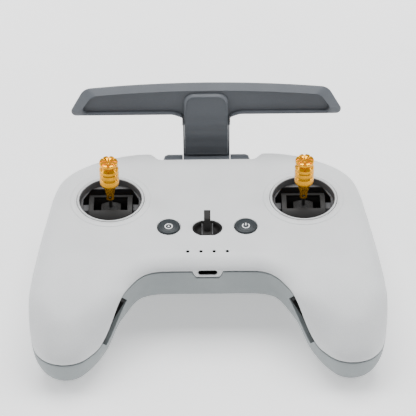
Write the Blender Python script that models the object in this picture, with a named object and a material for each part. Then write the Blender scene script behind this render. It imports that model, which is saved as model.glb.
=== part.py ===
"""Hand-held radio transmitter for a small drone, as an assembly of its separate pieces.

It lies on its back with the control face up. +Y points away from the user, towards the folding
antenna, and X = 0 is its plane of symmetry. The gimbals' axes lie in the plane Y = 0, and Z = 0 is
the surface that it rests on. Lengths are millimetres and angles degrees up to add_object(), which
turns every mesh into metres.
"""

from math import atan2, cos, pi, radians, sin, tan

import bmesh
import bpy
from mathutils import Matrix, Vector

METRES = 0.001
GAP = 0.3  # clearance between neighbouring pieces

# Body shells. Each height below FACE_Z is written as a drop from the face.
FACE_Z = 49.0
WALL = 2.0
SEAM_DROP = 5.5
SEAM_LAND = 0.8  # straight wall above the seam, before the edge rounds over
FRONT_Y = -50.3
FAR_Y = 42.3
EDGE_INSET = 9.0  # how far the face's rounded edge reaches inwards
GRIP_EDGE_INSET = 17.0
REAR_INSET = 12.0
GRIP_START_Y = -40.0
GRIP_END_Y = -96.5
FACE_DROOP = 19.0
DROOP_POWER = 1.7

# Right half of the body seen from above, from the middle of the front edge round to the far edge.
HALF_OUTLINE = (
    (0.0, FRONT_Y),
    (5.4, FRONT_Y),
    (8.1, FRONT_Y),
    (18.0, FRONT_Y),
    (28.0, -50.8),
    (35.0, -53.8),
    (40.8, -60.0),
    (46.2, -69.0),
    (52.6, -79.5),
    (60.2, -89.0),
    (67.0, -94.8),
    (76.0, -96.5),
    (85.0, -93.6),
    (91.0, -86.0),
    (93.5, -75.0),
    (93.0, -60.0),
    (91.0, -42.0),
    (88.4, -22.0),
    (86.0, -5.0),
    (83.9, 8.0),
    (80.0, 20.0),
    (72.0, 29.0),
    (61.0, 35.6),
    (50.0, 39.8),
    (39.0, 42.0),
    (30.0, 42.3),
    (25.0, FAR_Y),
    (0.0, FAR_Y),
)
# Drop of the seam below the face along Y: it falls steeply along the storage slots in the grips
SEAM_DROPS = (
    (-110.0, 29.2),
    (-88.0, 28.8),
    (-64.0, 8.4),
    (-48.0, 6.7),
    (-20.0, SEAM_DROP),
    (60.0, SEAM_DROP),
)
# Shallow step in the far edge, in front of the antenna's hinge
NOTCH_DEPTH = 7.8
NOTCH_HALF = 25.0
NOTCH_END = 32.0
# Height of the rear surface along Y, below the face: a flat pad under the gimbals and battery, a
# waist behind the front wall, and grips whose ends reach down to the same plane as the pad.
PAD_NEAR_Y = -16.5
PAD_FAR_Y = 24.0
GRIP_FOOT_Y = -76.0
REAR_DROPS = (
    (-110.0, FACE_Z),
    (GRIP_FOOT_Y, FACE_Z),
    (-60.0, 39.0),
    (-46.0, 32.0),
    (-36.0, 32.5),
    (PAD_NEAR_Y, FACE_Z),
    (PAD_FAR_Y, FACE_Z),
    (46.0, 33.0),
)

# Gimbals and sticks
STICK_X = 52.6
STICK_HOLE_RADIUS = 16.7
BEZEL_RADIUS = 18.25
COLLAR_RADIUS = 22.0
COLLAR_RISE = 0.7
PIVOT_DROP = 17.0
DRUM_RADIUS = 15.5
DRUM_WALL = 1.2
DRUM_HALF_WIDTH = 11.8
DRUM_REACH = 62.0
WINDOW_HALF_X = 9.2
WINDOW_HALF_Y = 5.4
ROCKER_RADIUS = 12.5
ROCKER_HALF_Y = 4.6
HOUSING_HALF = 17.4
HOUSING_TOP_DROP = 3.6
HOUSING_BOTTOM_DROP = 26.0
TRUNNION_RADIUS = 2.5
STUB_RADIUS = 1.0
STEM_FOOT = 1.2  # height of the stick's lower end above the face
GRUB_RISE = 3.5

# Face controls
BUTTON_X = 20.7
BUTTON_Y = -22.0
BUTTON_RADIUS = 6.0
LANYARD_Y = -23.2
LANYARD_HALF_X = 7.9
LANYARD_HALF_Y = 6.3
LIGHT_Y = -41.5
LIGHT_PITCH = 7.0
LIGHT_RADIUS = 0.8
USB_DROP = 7.4
USB_HALF_X = 5.15
USB_HALF_Z = 1.6
TAB_HALF_BOTTOM = 5.4
TAB_HALF_TOP = 8.1
TAB_DEPTH = 4.2
BOARD_DROP = 9.4

# Folding antenna, in its own frame: s runs along the arm from the hinge axis, h towards the user.
HINGE_Y = 42.0
HINGE_DROP = 11.2
ARM_LEAN = 75.0
BARREL_RADIUS = 6.0
PIN_RADIUS = 2.0
KNUCKLE_OUTER_X = 24.3
STEM_HALF = 13.05
TONGUE_HALF = 12.4
WING_BOTTOM = 32.3
WING_TOP = 51.4
WING_HALF = 77.0
WING_BACK = -4.0
ARCH = 0.00069  # fall of the wing's upper edge per square millimetre from the middle
WING_CREST = 1.9  # height of the wing's outermost edge in front of the arm
PANEL_RISE = 5.7
TONGUE_RISE = 7.0
TONGUE_TOP = 46.2

# Shoulder controls on the far wall, each at its X
SHOULDER_DROP = 17.0
SHOULDER_BUTTONS = {"pause_button": -49.5, "start_button": 51.0, "record_button": 64.5}
SHOULDER_BUTTON_RADIUS = 4.5
DIAL_X = -66.0
DIAL_RADIUS = 9.0
DIAL_HALF_WIDTH = 3.5
CUSTOM_SWITCH_X = -37.5
MODE_SWITCH_X = 38.0
# Slots in the wall: X, half length along the wall, half height
SHOULDER_SLOTS = (
    (DIAL_X, 10.2, DIAL_HALF_WIDTH + 0.5),
    (CUSTOM_SWITCH_X, 5.0, 2.4),
    (MODE_SWITCH_X, 6.2, 2.4),
)

SCREW_PLACES = ((31.5, 30.5), (74.0, -66.0))
POST_FOOT = 12.5  # how far the front shell's screw posts end above the rear surface
POST_RADIUS = 3.2
QUARTERS = ((-1, -1), (1, -1), (1, 1), (-1, 1))  # signs of a rectangle's corners, anticlockwise


# --- Small maths ---------------------------------------------------------------------------------


def blend(low, high, value):
    """Smooth step from 0 at low to 1 at high."""
    t = min(max((value - low) / (high - low), 0.0), 1.0)
    return t * t * (3 - 2 * t)


def along(stations, value):
    """Smooth value at a place along a list of (place, value) stations."""
    for (start, first), (end, second) in zip(stations, stations[1:]):
        if value <= end:
            return first + (second - first) * blend(start, end, value)
    return stations[-1][1]


def arc(centre, radius, start, end, steps):
    """Points of an arc, from the start angle to the end angle in degrees."""
    turn = [radians(start + (end - start) * i / steps) for i in range(steps + 1)]
    return [(centre[0] + radius * cos(a), centre[1] + radius * sin(a)) for a in turn]


def ellipse(centre, half_x, half_y, steps):
    turn = [2 * pi * i / steps for i in range(steps)]
    return [(centre[0] + half_x * cos(a), centre[1] + half_y * sin(a)) for a in turn]


def rounded(corners, steps=4):
    """Closed outline through (x, y, radius) corners, each corner rounded by an arc."""
    points = []
    for i, (x, y, radius) in enumerate(corners):
        corner = Vector((x, y))
        to_last = (Vector(corners[i - 1][:2]) - corner).normalized()
        to_next = (Vector(corners[(i + 1) % len(corners)][:2]) - corner).normalized()
        if radius == 0:
            points.append((x, y))
            continue
        half = to_last.angle(to_next) / 2
        middle = corner + (to_last + to_next).normalized() * (radius / sin(half))
        first = corner + to_last * (radius / tan(half)) - middle
        last = corner + to_next * (radius / tan(half)) - middle
        start = atan2(first.y, first.x)
        sweep = (atan2(last.y, last.x) - start + pi) % (2 * pi) - pi
        for step in range(steps + 1):
            angle = start + sweep * step / steps
            points.append((middle.x + radius * cos(angle), middle.y + radius * sin(angle)))
    return points


def spline(points, per_stretch):
    """Catmull-Rom curve through an open list of points, ends included."""
    ends = [points[0], *points, points[-1]]
    curve = []
    for i in range(len(points) - 1):
        a, b, c, d = (Vector(p) for p in ends[i : i + 4])
        for step in range(per_stretch):
            t = step / per_stretch
            curve.append(
                tuple(
                    0.5
                    * (
                        2 * b
                        + (c - a) * t
                        + (2 * a - 5 * b + 4 * c - d) * t**2
                        + (3 * b - a - 3 * c + d) * t**3
                    )
                )
            )
    return curve + [tuple(points[-1])]


# --- Meshes --------------------------------------------------------------------------------------


def material(name, colour, roughness, metallic=0.0):
    made = bpy.data.materials.new(name)
    made.use_nodes = True
    shader = made.node_tree.nodes["Principled BSDF"]
    shader.inputs["Base Color"].default_value = (*colour, 1.0)
    shader.inputs["Roughness"].default_value = roughness
    shader.inputs["Metallic"].default_value = metallic
    made.diffuse_color = (*colour, 1.0)
    return made


def add_object(name, mesh, look=None, pivot=(0, 0, 0), smooth=35):
    """The bmesh as an object whose origin is at the pivot, both given in millimetres."""
    bmesh.ops.recalc_face_normals(mesh, faces=mesh.faces)
    mesh.transform(Matrix.Scale(METRES, 4) @ Matrix.Translation(-Vector(pivot)))
    data = bpy.data.meshes.new(name)
    mesh.to_mesh(data)
    mesh.free()
    data.shade_smooth()
    data.set_sharp_from_angle(angle=radians(smooth))
    made = bpy.data.objects.new(name, data)
    made.location = Vector(pivot) * METRES
    bpy.context.scene.collection.objects.link(made)
    if look:
        data.materials.append(look)
    return made


def combine(target, operation, *meshes):
    """Boolean modifiers on the target, one for each mesh; the tools stay as hidden objects."""
    for mesh in meshes:
        tool = add_object(f"{target.name}_{operation.lower()}_tool", mesh)
        tool.hide_render = True
        tool.display_type = "WIRE"
        step = target.modifiers.new(tool.name, "BOOLEAN")
        step.operation = operation
        step.object = tool
    return target


def cut(target, *meshes):
    return combine(target, "DIFFERENCE", *meshes)


def join(target, *meshes):
    return combine(target, "UNION", *meshes)


def loft(loops, place=None, closed_ring=False):
    """Solid through loops of points of equal count, capped at both ends or closed on itself."""
    mesh = bmesh.new()
    rings = [[mesh.verts.new(point) for point in loop] for loop in loops]
    pairs = list(zip(rings, rings[1:]))
    if closed_ring:
        pairs.append((rings[-1], rings[0]))
    for lower, upper in pairs:
        for i in range(len(lower)):
            j = (i + 1) % len(lower)
            mesh.faces.new((lower[i], lower[j], upper[j], upper[i]))
    if not closed_ring:
        mesh.faces.new(rings[0][::-1])
        mesh.faces.new(rings[-1])
    if place:
        mesh.transform(place)
    return mesh


def prism(outline, low, high, place=None):
    return loft([[(x, y, z) for x, y in outline] for z in (low, high)], place)


def box(low, high, place=None):
    (x0, y0, z0), (x1, y1, z1) = low, high
    return prism([(x0, y0), (x1, y0), (x1, y1), (x0, y1)], z0, z1, place)


def turned(profile, steps, place=None):
    """Solid turned about local Z from (radius, height) points.

    A profile whose ends lie on the axis gives a plain solid, any other one a ring.
    """
    on_axis = profile[0][0] == 0 and profile[-1][0] == 0
    inner = profile[1:-1] if on_axis else profile
    loops = [[(x, y, h) for x, y in ellipse((0, 0), r, r, steps)] for r, h in inner]
    return loft(loops, place, closed_ring=not on_axis)


def at(x, y, z):
    return Matrix.Translation((x, y, z))


def along_x(x, y, z):
    """Local Z turned to point along +X."""
    return at(x, y, z) @ Matrix.Rotation(radians(90), 4, "Y")


def along_y(x, y, z):
    """Local Z turned to point along +Y."""
    return at(x, y, z) @ Matrix.Rotation(radians(-90), 4, "X")


def rod(radius, low, high, steps=16, place=None):
    return turned([(0, low), (radius, low), (radius, high), (0, high)], steps, place)


# --- Body shells ---------------------------------------------------------------------------------


def body_outline(per_stretch):
    """Closed outline of the body seen from above, anticlockwise from the middle of the front."""
    half = spline(HALF_OUTLINE, per_stretch)
    return half + [(-x, y) for x, y in half[-2:0:-1]]


def inset(outline, distance):
    """The outline moved inwards; distance is a function of Y."""
    moved = []
    for i, (x, y) in enumerate(outline):
        before, after = outline[i - 1], outline[(i + 1) % len(outline)]
        run = Vector((after[0] - before[0], after[1] - before[1])).normalized()
        moved.append((x - run.y * distance(y), y + run.x * distance(y)))
    return moved


def notched(ring, share):
    """The ring with this share of the step in the far edge."""
    moved = []
    for x, y in ring:
        depth = NOTCH_DEPTH * blend(NOTCH_END, NOTCH_HALF, abs(x)) if y > 0 else 0.0
        moved.append((x, y - share * depth))
    return moved


def grip_share(y):
    """0 on the body, rising to 1 at the ends of the grips."""
    t = min(max((GRIP_START_Y - y) / (GRIP_START_Y - GRIP_END_Y), 0.0), 1.0)
    return t**DROOP_POWER


def face_height(x, y):
    return FACE_Z - FACE_DROOP * grip_share(y)


def plain_seam_height(x, y):
    return FACE_Z - along(SEAM_DROPS, y)


def seam_height(x, y):
    """The seam, with the dip round the USB port in the middle of the front wall."""
    dip = TAB_DEPTH * blend(TAB_HALF_TOP, TAB_HALF_BOTTOM, abs(x)) if y < GRIP_START_Y else 0.0
    return plain_seam_height(x, y) - dip


def rear_height(x, y):
    return FACE_Z - along(REAR_DROPS, y)


def edge_inset(y):
    return EDGE_INSET + (GRIP_EDGE_INSET - EDGE_INSET) * grip_share(y)


def dome_rings(outline, cap_height, wall, edge, steps, side):
    """Rings of one surface of a shell half, from the seam inwards to where its cap begins.

    side is +1 for the front half, whose cap is the face, and -1 for the rear half. wall is 0 for
    the outer surface and the wall thickness for the inner one.
    """
    rings = []
    base = notched(inset(outline, lambda y: wall), 1.0)
    rings.append([(x, y, seam_height(x, y) + side * GAP / 2) for x, y in base])
    for step in range(steps + 1):
        turn = radians(90 * step / steps)
        ring = inset(outline, lambda y: wall + (edge(y) - wall) * (1 - cos(turn)))
        if side < 0 and step == 0:
            continue
        heights = []
        for x, y in notched(ring, cos(turn)):
            start = plain_seam_height(x, y) + side * (SEAM_LAND if side > 0 else 0.0)
            end = cap_height(x, y) - side * wall
            heights.append((x, y, start + (end - start) * sin(turn)))
        rings.append(heights)
    return rings


def shell_half(side, cap_height, edge, per_stretch, outer_steps, inner_steps, cuts_y):
    """One half of the body as a closed wall: outer surface, inner surface and the seam between."""
    outline = body_outline(per_stretch)
    mesh = bmesh.new()
    seam_loops = []
    for wall, steps in ((0.0, outer_steps), (WALL, inner_steps)):
        rings = dome_rings(outline, cap_height, wall, edge, steps, side)
        loops = [[mesh.verts.new(point) for point in ring] for ring in rings]
        seam_loops.append(loops[0])
        for lower, upper in zip(loops, loops[1:]):
            for i in range(len(lower)):
                j = (i + 1) % len(lower)
                mesh.faces.new((lower[i], lower[j], upper[j], upper[i]))
        cap = [mesh.faces.new(loops[-1])]
        for place in cuts_y:
            pieces = cap + list({edge for face in cap for edge in face.edges})
            pieces += list({vert for face in cap for vert in face.verts})
            made = bmesh.ops.bisect_plane(
                mesh, geom=pieces, plane_co=(0, place, 0), plane_no=(0, 1, 0), dist=1e-4
            )
            cap = [item for item in made["geom"] if isinstance(item, bmesh.types.BMFace)]
            for item in made["geom_cut"]:
                if isinstance(item, bmesh.types.BMVert):
                    item.co.z = cap_height(item.co.x, item.co.y) - side * wall
    outer, inner = seam_loops
    for i in range(len(outer)):
        j = (i + 1) % len(outer)
        mesh.faces.new((outer[i], inner[i], inner[j], outer[j]))
    bmesh.ops.triangulate(mesh, faces=mesh.faces)
    return mesh


def far_wall(x):
    """(y, angle of the outward normal) of the body's far wall at this x."""
    outline = body_outline(4)
    for (x0, y0), (x1, y1) in zip(outline, outline[1:]):
        if y0 > 0 and min(x0, x1) <= x <= max(x0, x1):
            share = (x - x0) / (x1 - x0)
            return y0 + (y1 - y0) * share, atan2(x0 - x1, y1 - y0)
    raise ValueError(f"the far wall doesn't reach x = {x}")


def shoulder_place(x):
    """Frame on the far wall: local Z out of the wall, local X level along it."""
    y, normal = far_wall(x)
    out = Vector((cos(normal), sin(normal), 0))
    level = Vector((-out.y, out.x, 0))
    up = out.cross(level)
    turn = Matrix((level, up, out)).transposed().to_4x4()
    return at(x, y, FACE_Z - SHOULDER_DROP) @ turn


def slot_place(side):
    """Frame of a stick storage slot: X along the slot, Y into the grip, Z across the slot."""
    start = Vector((43.4 * side, -64.0, plain_seam_height(0, -64.0) - 4.4))
    end = Vector((54.4 * side, -81.5, plain_seam_height(0, -81.5) - 3.6))
    run = (end - start).normalized()
    into = Vector((-run.y * side, run.x * side, 0)).normalized()
    across = run.cross(into) * side
    turn = Matrix((run, into, across)).transposed().to_4x4()
    return at(*start) @ turn, (end - start).length


def hinge_pocket():
    """Room in the far wall for the antenna's hinge."""
    return box(
        (-KNUCKLE_OUTER_X - GAP, 31.5, FACE_Z - 18.3),
        (KNUCKLE_OUTER_X + GAP, FAR_Y + 10, FACE_Z - SEAM_DROP),
    )


def usb_outline(half_x, half_z):
    corners = [(-half_x, -half_z), (half_x, -half_z), (half_x, half_z), (-half_x, half_z)]
    return rounded([(x, z, half_z * 0.98) for x, z in corners])


def make_front_shell(look):
    shell = add_object(
        "front_shell",
        shell_half(1, face_height, edge_inset, 2, 3, 1, (GRIP_START_Y, -45, -52, -59, -66, -73, -80)),
        look,
    )
    for side in (-1, 1):
        collar = turned(
            [
                (BEZEL_RADIUS - 0.6, FACE_Z - 1.3),
                (COLLAR_RADIUS - 0.1, FACE_Z - 1.3),
                (COLLAR_RADIUS, FACE_Z + 0.1),
                (COLLAR_RADIUS - 1.3, FACE_Z + 0.75 * COLLAR_RISE),
                (COLLAR_RADIUS - 2.4, FACE_Z + COLLAR_RISE),
                (BEZEL_RADIUS - 0.6, FACE_Z + COLLAR_RISE + 0.05),
            ],
            36,
            at(side * STICK_X, 0, 0) @ Matrix.Rotation(radians(3), 4, "Z"),
        )
        join(shell, collar)
        for x, y in SCREW_PLACES:
            foot = rear_height(x, y) + POST_FOOT
            join(shell, rod(POST_RADIUS, foot, face_height(x, y) - 1, 12, at(side * x, y, 0)))
    holes = [hinge_pocket()]
    for side in (-1, 1):
        holes.append(rod(BEZEL_RADIUS + GAP, 40, 60, 40, at(side * STICK_X, 0, 0)))
        holes.append(rod(BUTTON_RADIUS + GAP, 40, 60, 28, at(side * BUTTON_X, BUTTON_Y, 0)))
        for x, y in SCREW_PLACES:
            foot = rear_height(x, y) + POST_FOOT
            holes.append(rod(1.5, foot - 3, foot + 8, 10, at(side * x, y, 0)))
    holes.append(prism(lanyard_outline(GAP), 40, 60, at(0, LANYARD_Y, 0)))
    for i in range(4):
        x = (i - 1.5) * LIGHT_PITCH
        holes.append(rod(LIGHT_RADIUS + 0.15, 40, 60, 10, at(x, LIGHT_Y, 0)))
    port = along_y(0, FRONT_Y, FACE_Z - USB_DROP)
    holes.append(prism(usb_outline(USB_HALF_X, USB_HALF_Z), -3, 4, port))
    return cut(shell, *holes)


def make_rear_shell(look):
    shell = add_object(
        "rear_shell",
        shell_half(
            -1,
            rear_height,
            lambda y: REAR_INSET,
            2,
            4,
            2,
            (34, 28, PAD_FAR_Y, PAD_NEAR_Y, -23, -29.5, -36, -46, -53, -60, -68, GRIP_FOOT_Y),
        ),
        look,
    )
    holes = [hinge_pocket()]
    for side in (-1, 1):
        place, length = slot_place(side)
        holes.append(box((0, -8, -3.2), (length, 9.6, 8.5), place))
        holes.append(rod(5.3, -1, 4, 18, at(side * STICK_X, 4, 0)))
        for x, y in SCREW_PLACES:
            low = rear_height(x, y)
            holes.append(rod(3.1, low - 4, low + 9, 14, at(side * x, y, 0)))
    for x, half_x, half_y in SHOULDER_SLOTS:
        wall_slot = rounded(
            [(sx * half_x, sy * half_y, min(half_x, half_y) * 0.6) for sx, sy in QUARTERS]
        )
        holes.append(prism(wall_slot, -5, 4, shoulder_place(x)))
    for x in SHOULDER_BUTTONS.values():
        holes.append(rod(SHOULDER_BUTTON_RADIUS + GAP, -5, 4, 24, shoulder_place(x)))
    return cut(shell, *holes)


# --- Gimbals and sticks --------------------------------------------------------------------------


def make_bezel(name, x, look):
    profile = [
        (STICK_HOLE_RADIUS, -3.3),
        (19.6, -3.3),
        (19.6, -2.3),
        (BEZEL_RADIUS, -2.3),
        (BEZEL_RADIUS, 0.75),
        (STICK_HOLE_RADIUS + 0.5, 0.9),
        (STICK_HOLE_RADIUS, 0.2),
    ]
    return add_object(name, turned(profile, 36, at(x, 0, FACE_Z)), look)


def make_housing(name, x, look):
    """Square cup with a top plate that leaves an eight-sided well, and bearing cheeks inside."""
    pivot = at(x, 0, FACE_Z - PIVOT_DROP)
    top = PIVOT_DROP - HOUSING_TOP_DROP
    bottom = PIVOT_DROP - HOUSING_BOTTOM_DROP
    half = HOUSING_HALF
    square = rounded([(sx * half, sy * half, 3) for sx, sy in QUARTERS], 3)
    housing = add_object(name, prism(square, bottom, top, pivot), look)
    inner = [(sx * (half - 1.4), sy * (half - 1.0)) for sx, sy in QUARTERS]
    well = [(15.2, -5), (15.2, 5), (11.2, 13.6), (-11.2, 13.6)]
    well += [(-x, -y) for x, y in well]
    cut(housing, prism(inner, bottom + 1.4, top - 1, pivot), prism(well, top - 3, top + 1, pivot))
    for side in (-1, 1):
        cheek = [(-4.4, bottom + 0.5), (4.4, bottom + 0.5), (4.4, 6), (2.4, 11.6), (-2.4, 11.6)]
        cheek += [(-4.4, 6)]
        inside = DRUM_HALF_WIDTH + GAP
        frame = pivot @ Matrix(((0, 0, side, 0), (1, 0, 0, 0), (0, 1, 0, 0), (0, 0, 0, 1)))
        join(housing, prism(cheek, inside, half - 0.7, frame))
    bore = TRUNNION_RADIUS + GAP
    reach = half - 2.6
    cut(housing, rod(bore, -reach, reach, 16, pivot @ Matrix.Rotation(radians(90), 4, "Y")))
    return housing


def make_yoke(name, x, look):
    """Outer drum on the left-right axis: a curved sheet with a window, two end plates, trunnions."""
    centre = (x, 0, FACE_Z - PIVOT_DROP)
    on_axis = at(*centre) @ Matrix(((0, 0, 1, 0), (1, 0, 0, 0), (0, 1, 0, 0), (0, 0, 0, 1)))
    outer = arc((0, 0), DRUM_RADIUS, 90 - DRUM_REACH, 90 + DRUM_REACH, 12)
    inner = arc((0, 0), DRUM_RADIUS - DRUM_WALL, 90 + DRUM_REACH, 90 - DRUM_REACH, 12)
    yoke = add_object(
        name, prism(outer + inner, -DRUM_HALF_WIDTH, DRUM_HALF_WIDTH, on_axis), look, centre
    )
    plate = arc((0, 0), DRUM_RADIUS - 0.4, 40, 140, 8) + arc((0, 0), 4.2, 200, 340, 5)
    for side in (-1, 1):
        ends = sorted((side * (DRUM_HALF_WIDTH - 1.2), side * (DRUM_HALF_WIDTH - 0.01)))
        join(yoke, prism(plate, *ends, on_axis))
        pins = sorted((side * (DRUM_HALF_WIDTH - 0.6), side * (HOUSING_HALF - 3.0)))
        join(yoke, rod(TRUNNION_RADIUS, *pins, 16, on_axis))
        rib = [(-DRUM_HALF_WIDTH + 0.6, -4), (DRUM_HALF_WIDTH - 0.6, -4)]
        rib += [(DRUM_HALF_WIDTH - 0.6, 12.8), (-DRUM_HALF_WIDTH + 0.6, 12.8)]
        upright = at(*centre) @ Matrix(((1, 0, 0, 0), (0, 0, side, 0), (0, 1, 0, 0), (0, 0, 0, 1)))
        join(yoke, prism(rib, WINDOW_HALF_Y, WINDOW_HALF_Y + 1.2, upright))
    window = box(
        (-WINDOW_HALF_X, -WINDOW_HALF_Y, 9),
        (WINDOW_HALF_X, WINDOW_HALF_Y, DRUM_RADIUS + 1),
        at(*centre),
    )
    bearing = rod(2.1, -9, 9, 16, along_y(*centre))
    return cut(yoke, window, bearing)


def make_rocker(name, x, look):
    """Inner drum on the fore-aft axis, with its pin and the stub that carries the stick."""
    centre = (x, 0, FACE_Z - PIVOT_DROP)
    upright = at(*centre) @ Matrix(((1, 0, 0, 0), (0, 0, -1, 0), (0, 1, 0, 0), (0, 0, 0, 1)))
    sector = arc((0, 0), ROCKER_RADIUS, 64, 116, 8) + arc((0, 0), 3.6, 170, 370, 8)
    rocker = add_object(
        name, prism(sector, -ROCKER_HALF_Y, ROCKER_HALF_Y, upright), look, centre
    )
    pin = rod(1.8, -WINDOW_HALF_Y - 1.1, WINDOW_HALF_Y + 1.1, 16, along_y(*centre))
    stub = rod(STUB_RADIUS, ROCKER_RADIUS - 2, PIVOT_DROP + 9, 12, at(*centre))
    return join(rocker, pin, stub)


STEM_PROFILE = (
    (2.1, STEM_FOOT),
    (2.1, 4.7),
    (2.3, 5.3),
    (3.35, 9.9),
    (4.9, 12.0),
    (5.2, 12.8),
    (5.2, 16.3),
    (4.75, 17.0),
    (5.2, 17.3),
    (5.2, 20.2),
    (4.75, 20.9),
    (5.2, 21.2),
    (5.2, 22.9),
    (4.2, 24.4),
)


def make_stem(name, x, look):
    """Turned grip of the stick, bored from below for the rocker's stub and from above for the crown."""
    outside = [(r, h) for r, h in STEM_PROFILE]
    profile = [(0, 10.2), (STUB_RADIUS + GAP, 10.2), (STUB_RADIUS + GAP, STEM_FOOT)]
    profile += outside + [(2.3, 24.4), (2.3, 20.6), (0, 20.6)]
    stem = add_object(name, turned(profile, 18, at(x, 0, FACE_Z)), look, smooth=30)
    screw_hole = rod(0.95, -4, 0, 10, along_y(x, 0, FACE_Z + GRUB_RISE))
    return cut(stem, screw_hole)


def make_crown(name, x, look):
    """Thumb rest that plugs into the top of the stem, with notches running out from its middle."""
    notches, per_notch = 8, 3
    count = notches * per_notch
    # (radius, height, how deep a notch cuts down there, how far it cuts in there)
    profile = (
        (2.0, 21.0, 0.0, 0.0),
        (2.0, 24.7, 0.0, 0.0),
        (4.1, 24.8, 0.0, 0.0),
        (4.75, 25.6, 0.0, 0.3),
        (4.85, 26.8, 0.0, 0.5),
        (4.4, 27.8, 0.6, 0.2),
        (2.0, 27.9, 0.6, 0.0),
        (1.2, 27.2, 0.0, 0.0),
    )
    loops = []
    for radius, height, deep, in_by in profile:
        loop = []
        for i in range(count):
            cut_here = 0.0 if i % per_notch else 1.0
            r = radius - in_by * cut_here
            angle = 2 * pi * (i + 0.5 * per_notch) / count
            loop.append((r * cos(angle), r * sin(angle), height - deep * cut_here))
        loops.append(loop)
    return add_object(name, loft(loops, at(x, 0, FACE_Z)), look, smooth=30)


def make_grub_screw(name, x, look):
    screw = rod(0.7, -1.95, -1.1, 6, along_y(x, 0, FACE_Z + GRUB_RISE))
    return add_object(name, screw, look)


# --- Face controls -------------------------------------------------------------------------------


def make_face_button(name, x, look):
    radius = BUTTON_RADIUS
    profile = [
        (0, 0.9),
        (radius - 1.0, 0.9),
        (radius, 0.4),
        (radius, -2.4),
        (radius + 0.8, -2.4),
        (radius + 0.8, -3.2),
        (2.0, -3.2),
        (2.0, -7.6),
        (0, -7.6),
    ]
    place = at(x, BUTTON_Y, FACE_Z)
    return add_object(name, turned(profile, 20, place), look, (x, BUTTON_Y, FACE_Z))


def lanyard_outline(grow):
    """Oval whose near and far sides are cut flat."""
    oval = ellipse((0, 0), LANYARD_HALF_X + grow, LANYARD_HALF_Y + grow, 32)
    near, far = -0.89 * LANYARD_HALF_Y - grow, 0.94 * LANYARD_HALF_Y + grow
    return [(x, min(max(y, near), far)) for x, y in oval]


def make_lanyard_cup(look):
    place = at(0, LANYARD_Y, FACE_Z)
    cup = add_object("lanyard_cup", prism(lanyard_outline(0), -8.6, -0.1, place), look)
    return cut(cup, prism(lanyard_outline(-0.9), -3.5, 2, place))


def make_lanyard_hook(look):
    """Post with a foot in the cup, whose top reaches back over the face."""
    side_view = rounded(
        [
            (-2.6, -3.4, 0),
            (0.9, -3.4, 0),
            (0.9, 4.6, 1.2),
            (5.4, 6.2, 0),
            (5.4, 8.8, 0.9),
            (-1.4, 6.8, 2.4),
            (-2.6, 0.0, 2),
        ],
        3,
    )
    frame = at(0, LANYARD_Y, FACE_Z) @ Matrix(
        ((0, 0, 1, 0), (1, 0, 0, 0), (0, 1, 0, 0), (0, 0, 0, 1))
    )
    hook = add_object("lanyard_hook", prism(side_view, -1.75, 1.75, frame), look)
    strip = [(-3.7, -3.4), (4.2, -3.4), (4.2, -1.0), (1.6, -0.3), (-1.6, -0.3), (-3.7, -0.6)]
    return join(hook, prism(strip, -2.65, 2.65, frame))


def make_light(name, x, look):
    tail = 0.4 - BOARD_DROP
    profile = [(0, 0), (LIGHT_RADIUS, 0), (LIGHT_RADIUS, -4.0), (1.1, -4.0), (1.1, tail), (0, tail)]
    return add_object(name, turned(profile, 10, at(x, LIGHT_Y, FACE_Z)), look)


def make_usb(port_look, tongue_look):
    place = along_y(0, FRONT_Y, FACE_Z - USB_DROP)
    port = add_object("usb_port", prism(usb_outline(4.95, 1.4), 0.3, 7.3, place), port_look)
    board_top = BOARD_DROP - USB_DROP
    join(port, box((-4.2, 1.3, 4.4), (4.2, board_top - 0.1, 7.1), place))
    cut(port, prism(usb_outline(4.7, 1.15), -1, 6.5, place))
    tongue = box((-3.2, -0.35, 1.6), (3.2, 0.35, 6.2), place)
    add_object("usb_tongue", tongue, tongue_look)


# --- Storage slots and inner pieces --------------------------------------------------------------


def make_liner(name, side, look):
    """Lining of a storage slot; its open face leans back with the grip's wall at the lower end."""
    place, length = slot_place(side)
    # (along the slot, depth of the open face's lower edge, and of its upper edge)
    sections = [
        [(x, lower, -2.9), (x, 9.3, -2.9), (x, 9.3, 3.2), (x, upper, 3.2)]
        for x, lower, upper in ((GAP, 0.8, 0.6), (length - GAP, 4.6, 1.6))
    ]
    liner = add_object(name, loft(sections, place), look)
    pocket = rounded([(2, -2.1, 1), (length - 2, -2.1, 1), (length - 2, 2.4, 1), (2, 2.4, 1)], 3)
    into = place @ Matrix(((1, 0, 0, 0), (0, 0, 1, 0), (0, 1, 0, 0), (0, 0, 0, 1)))
    return cut(liner, prism(pocket, -2, 8, into))


def make_boards(board_look, shield_look):
    board = rounded([(-30, -46.2, 2), (30, -46.2, 2), (30, -13, 2), (-30, -13, 2)])
    add_object("button_board", prism(board, FACE_Z - BOARD_DROP - 1, FACE_Z - BOARD_DROP), board_look)
    main = rounded([(-33, -32, 2), (33, -32, 2), (33, 26.5, 2), (-33, 26.5, 2)])
    add_object("main_board", prism(main, FACE_Z - 21.6, FACE_Z - 20), board_look)
    can = rounded([(-13, -8, 1), (13, -8, 1), (13, 12, 1), (-13, 12, 1)])
    add_object("radio_shield", prism(can, FACE_Z - 19.7, FACE_Z - 17.2), shield_look)


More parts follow.
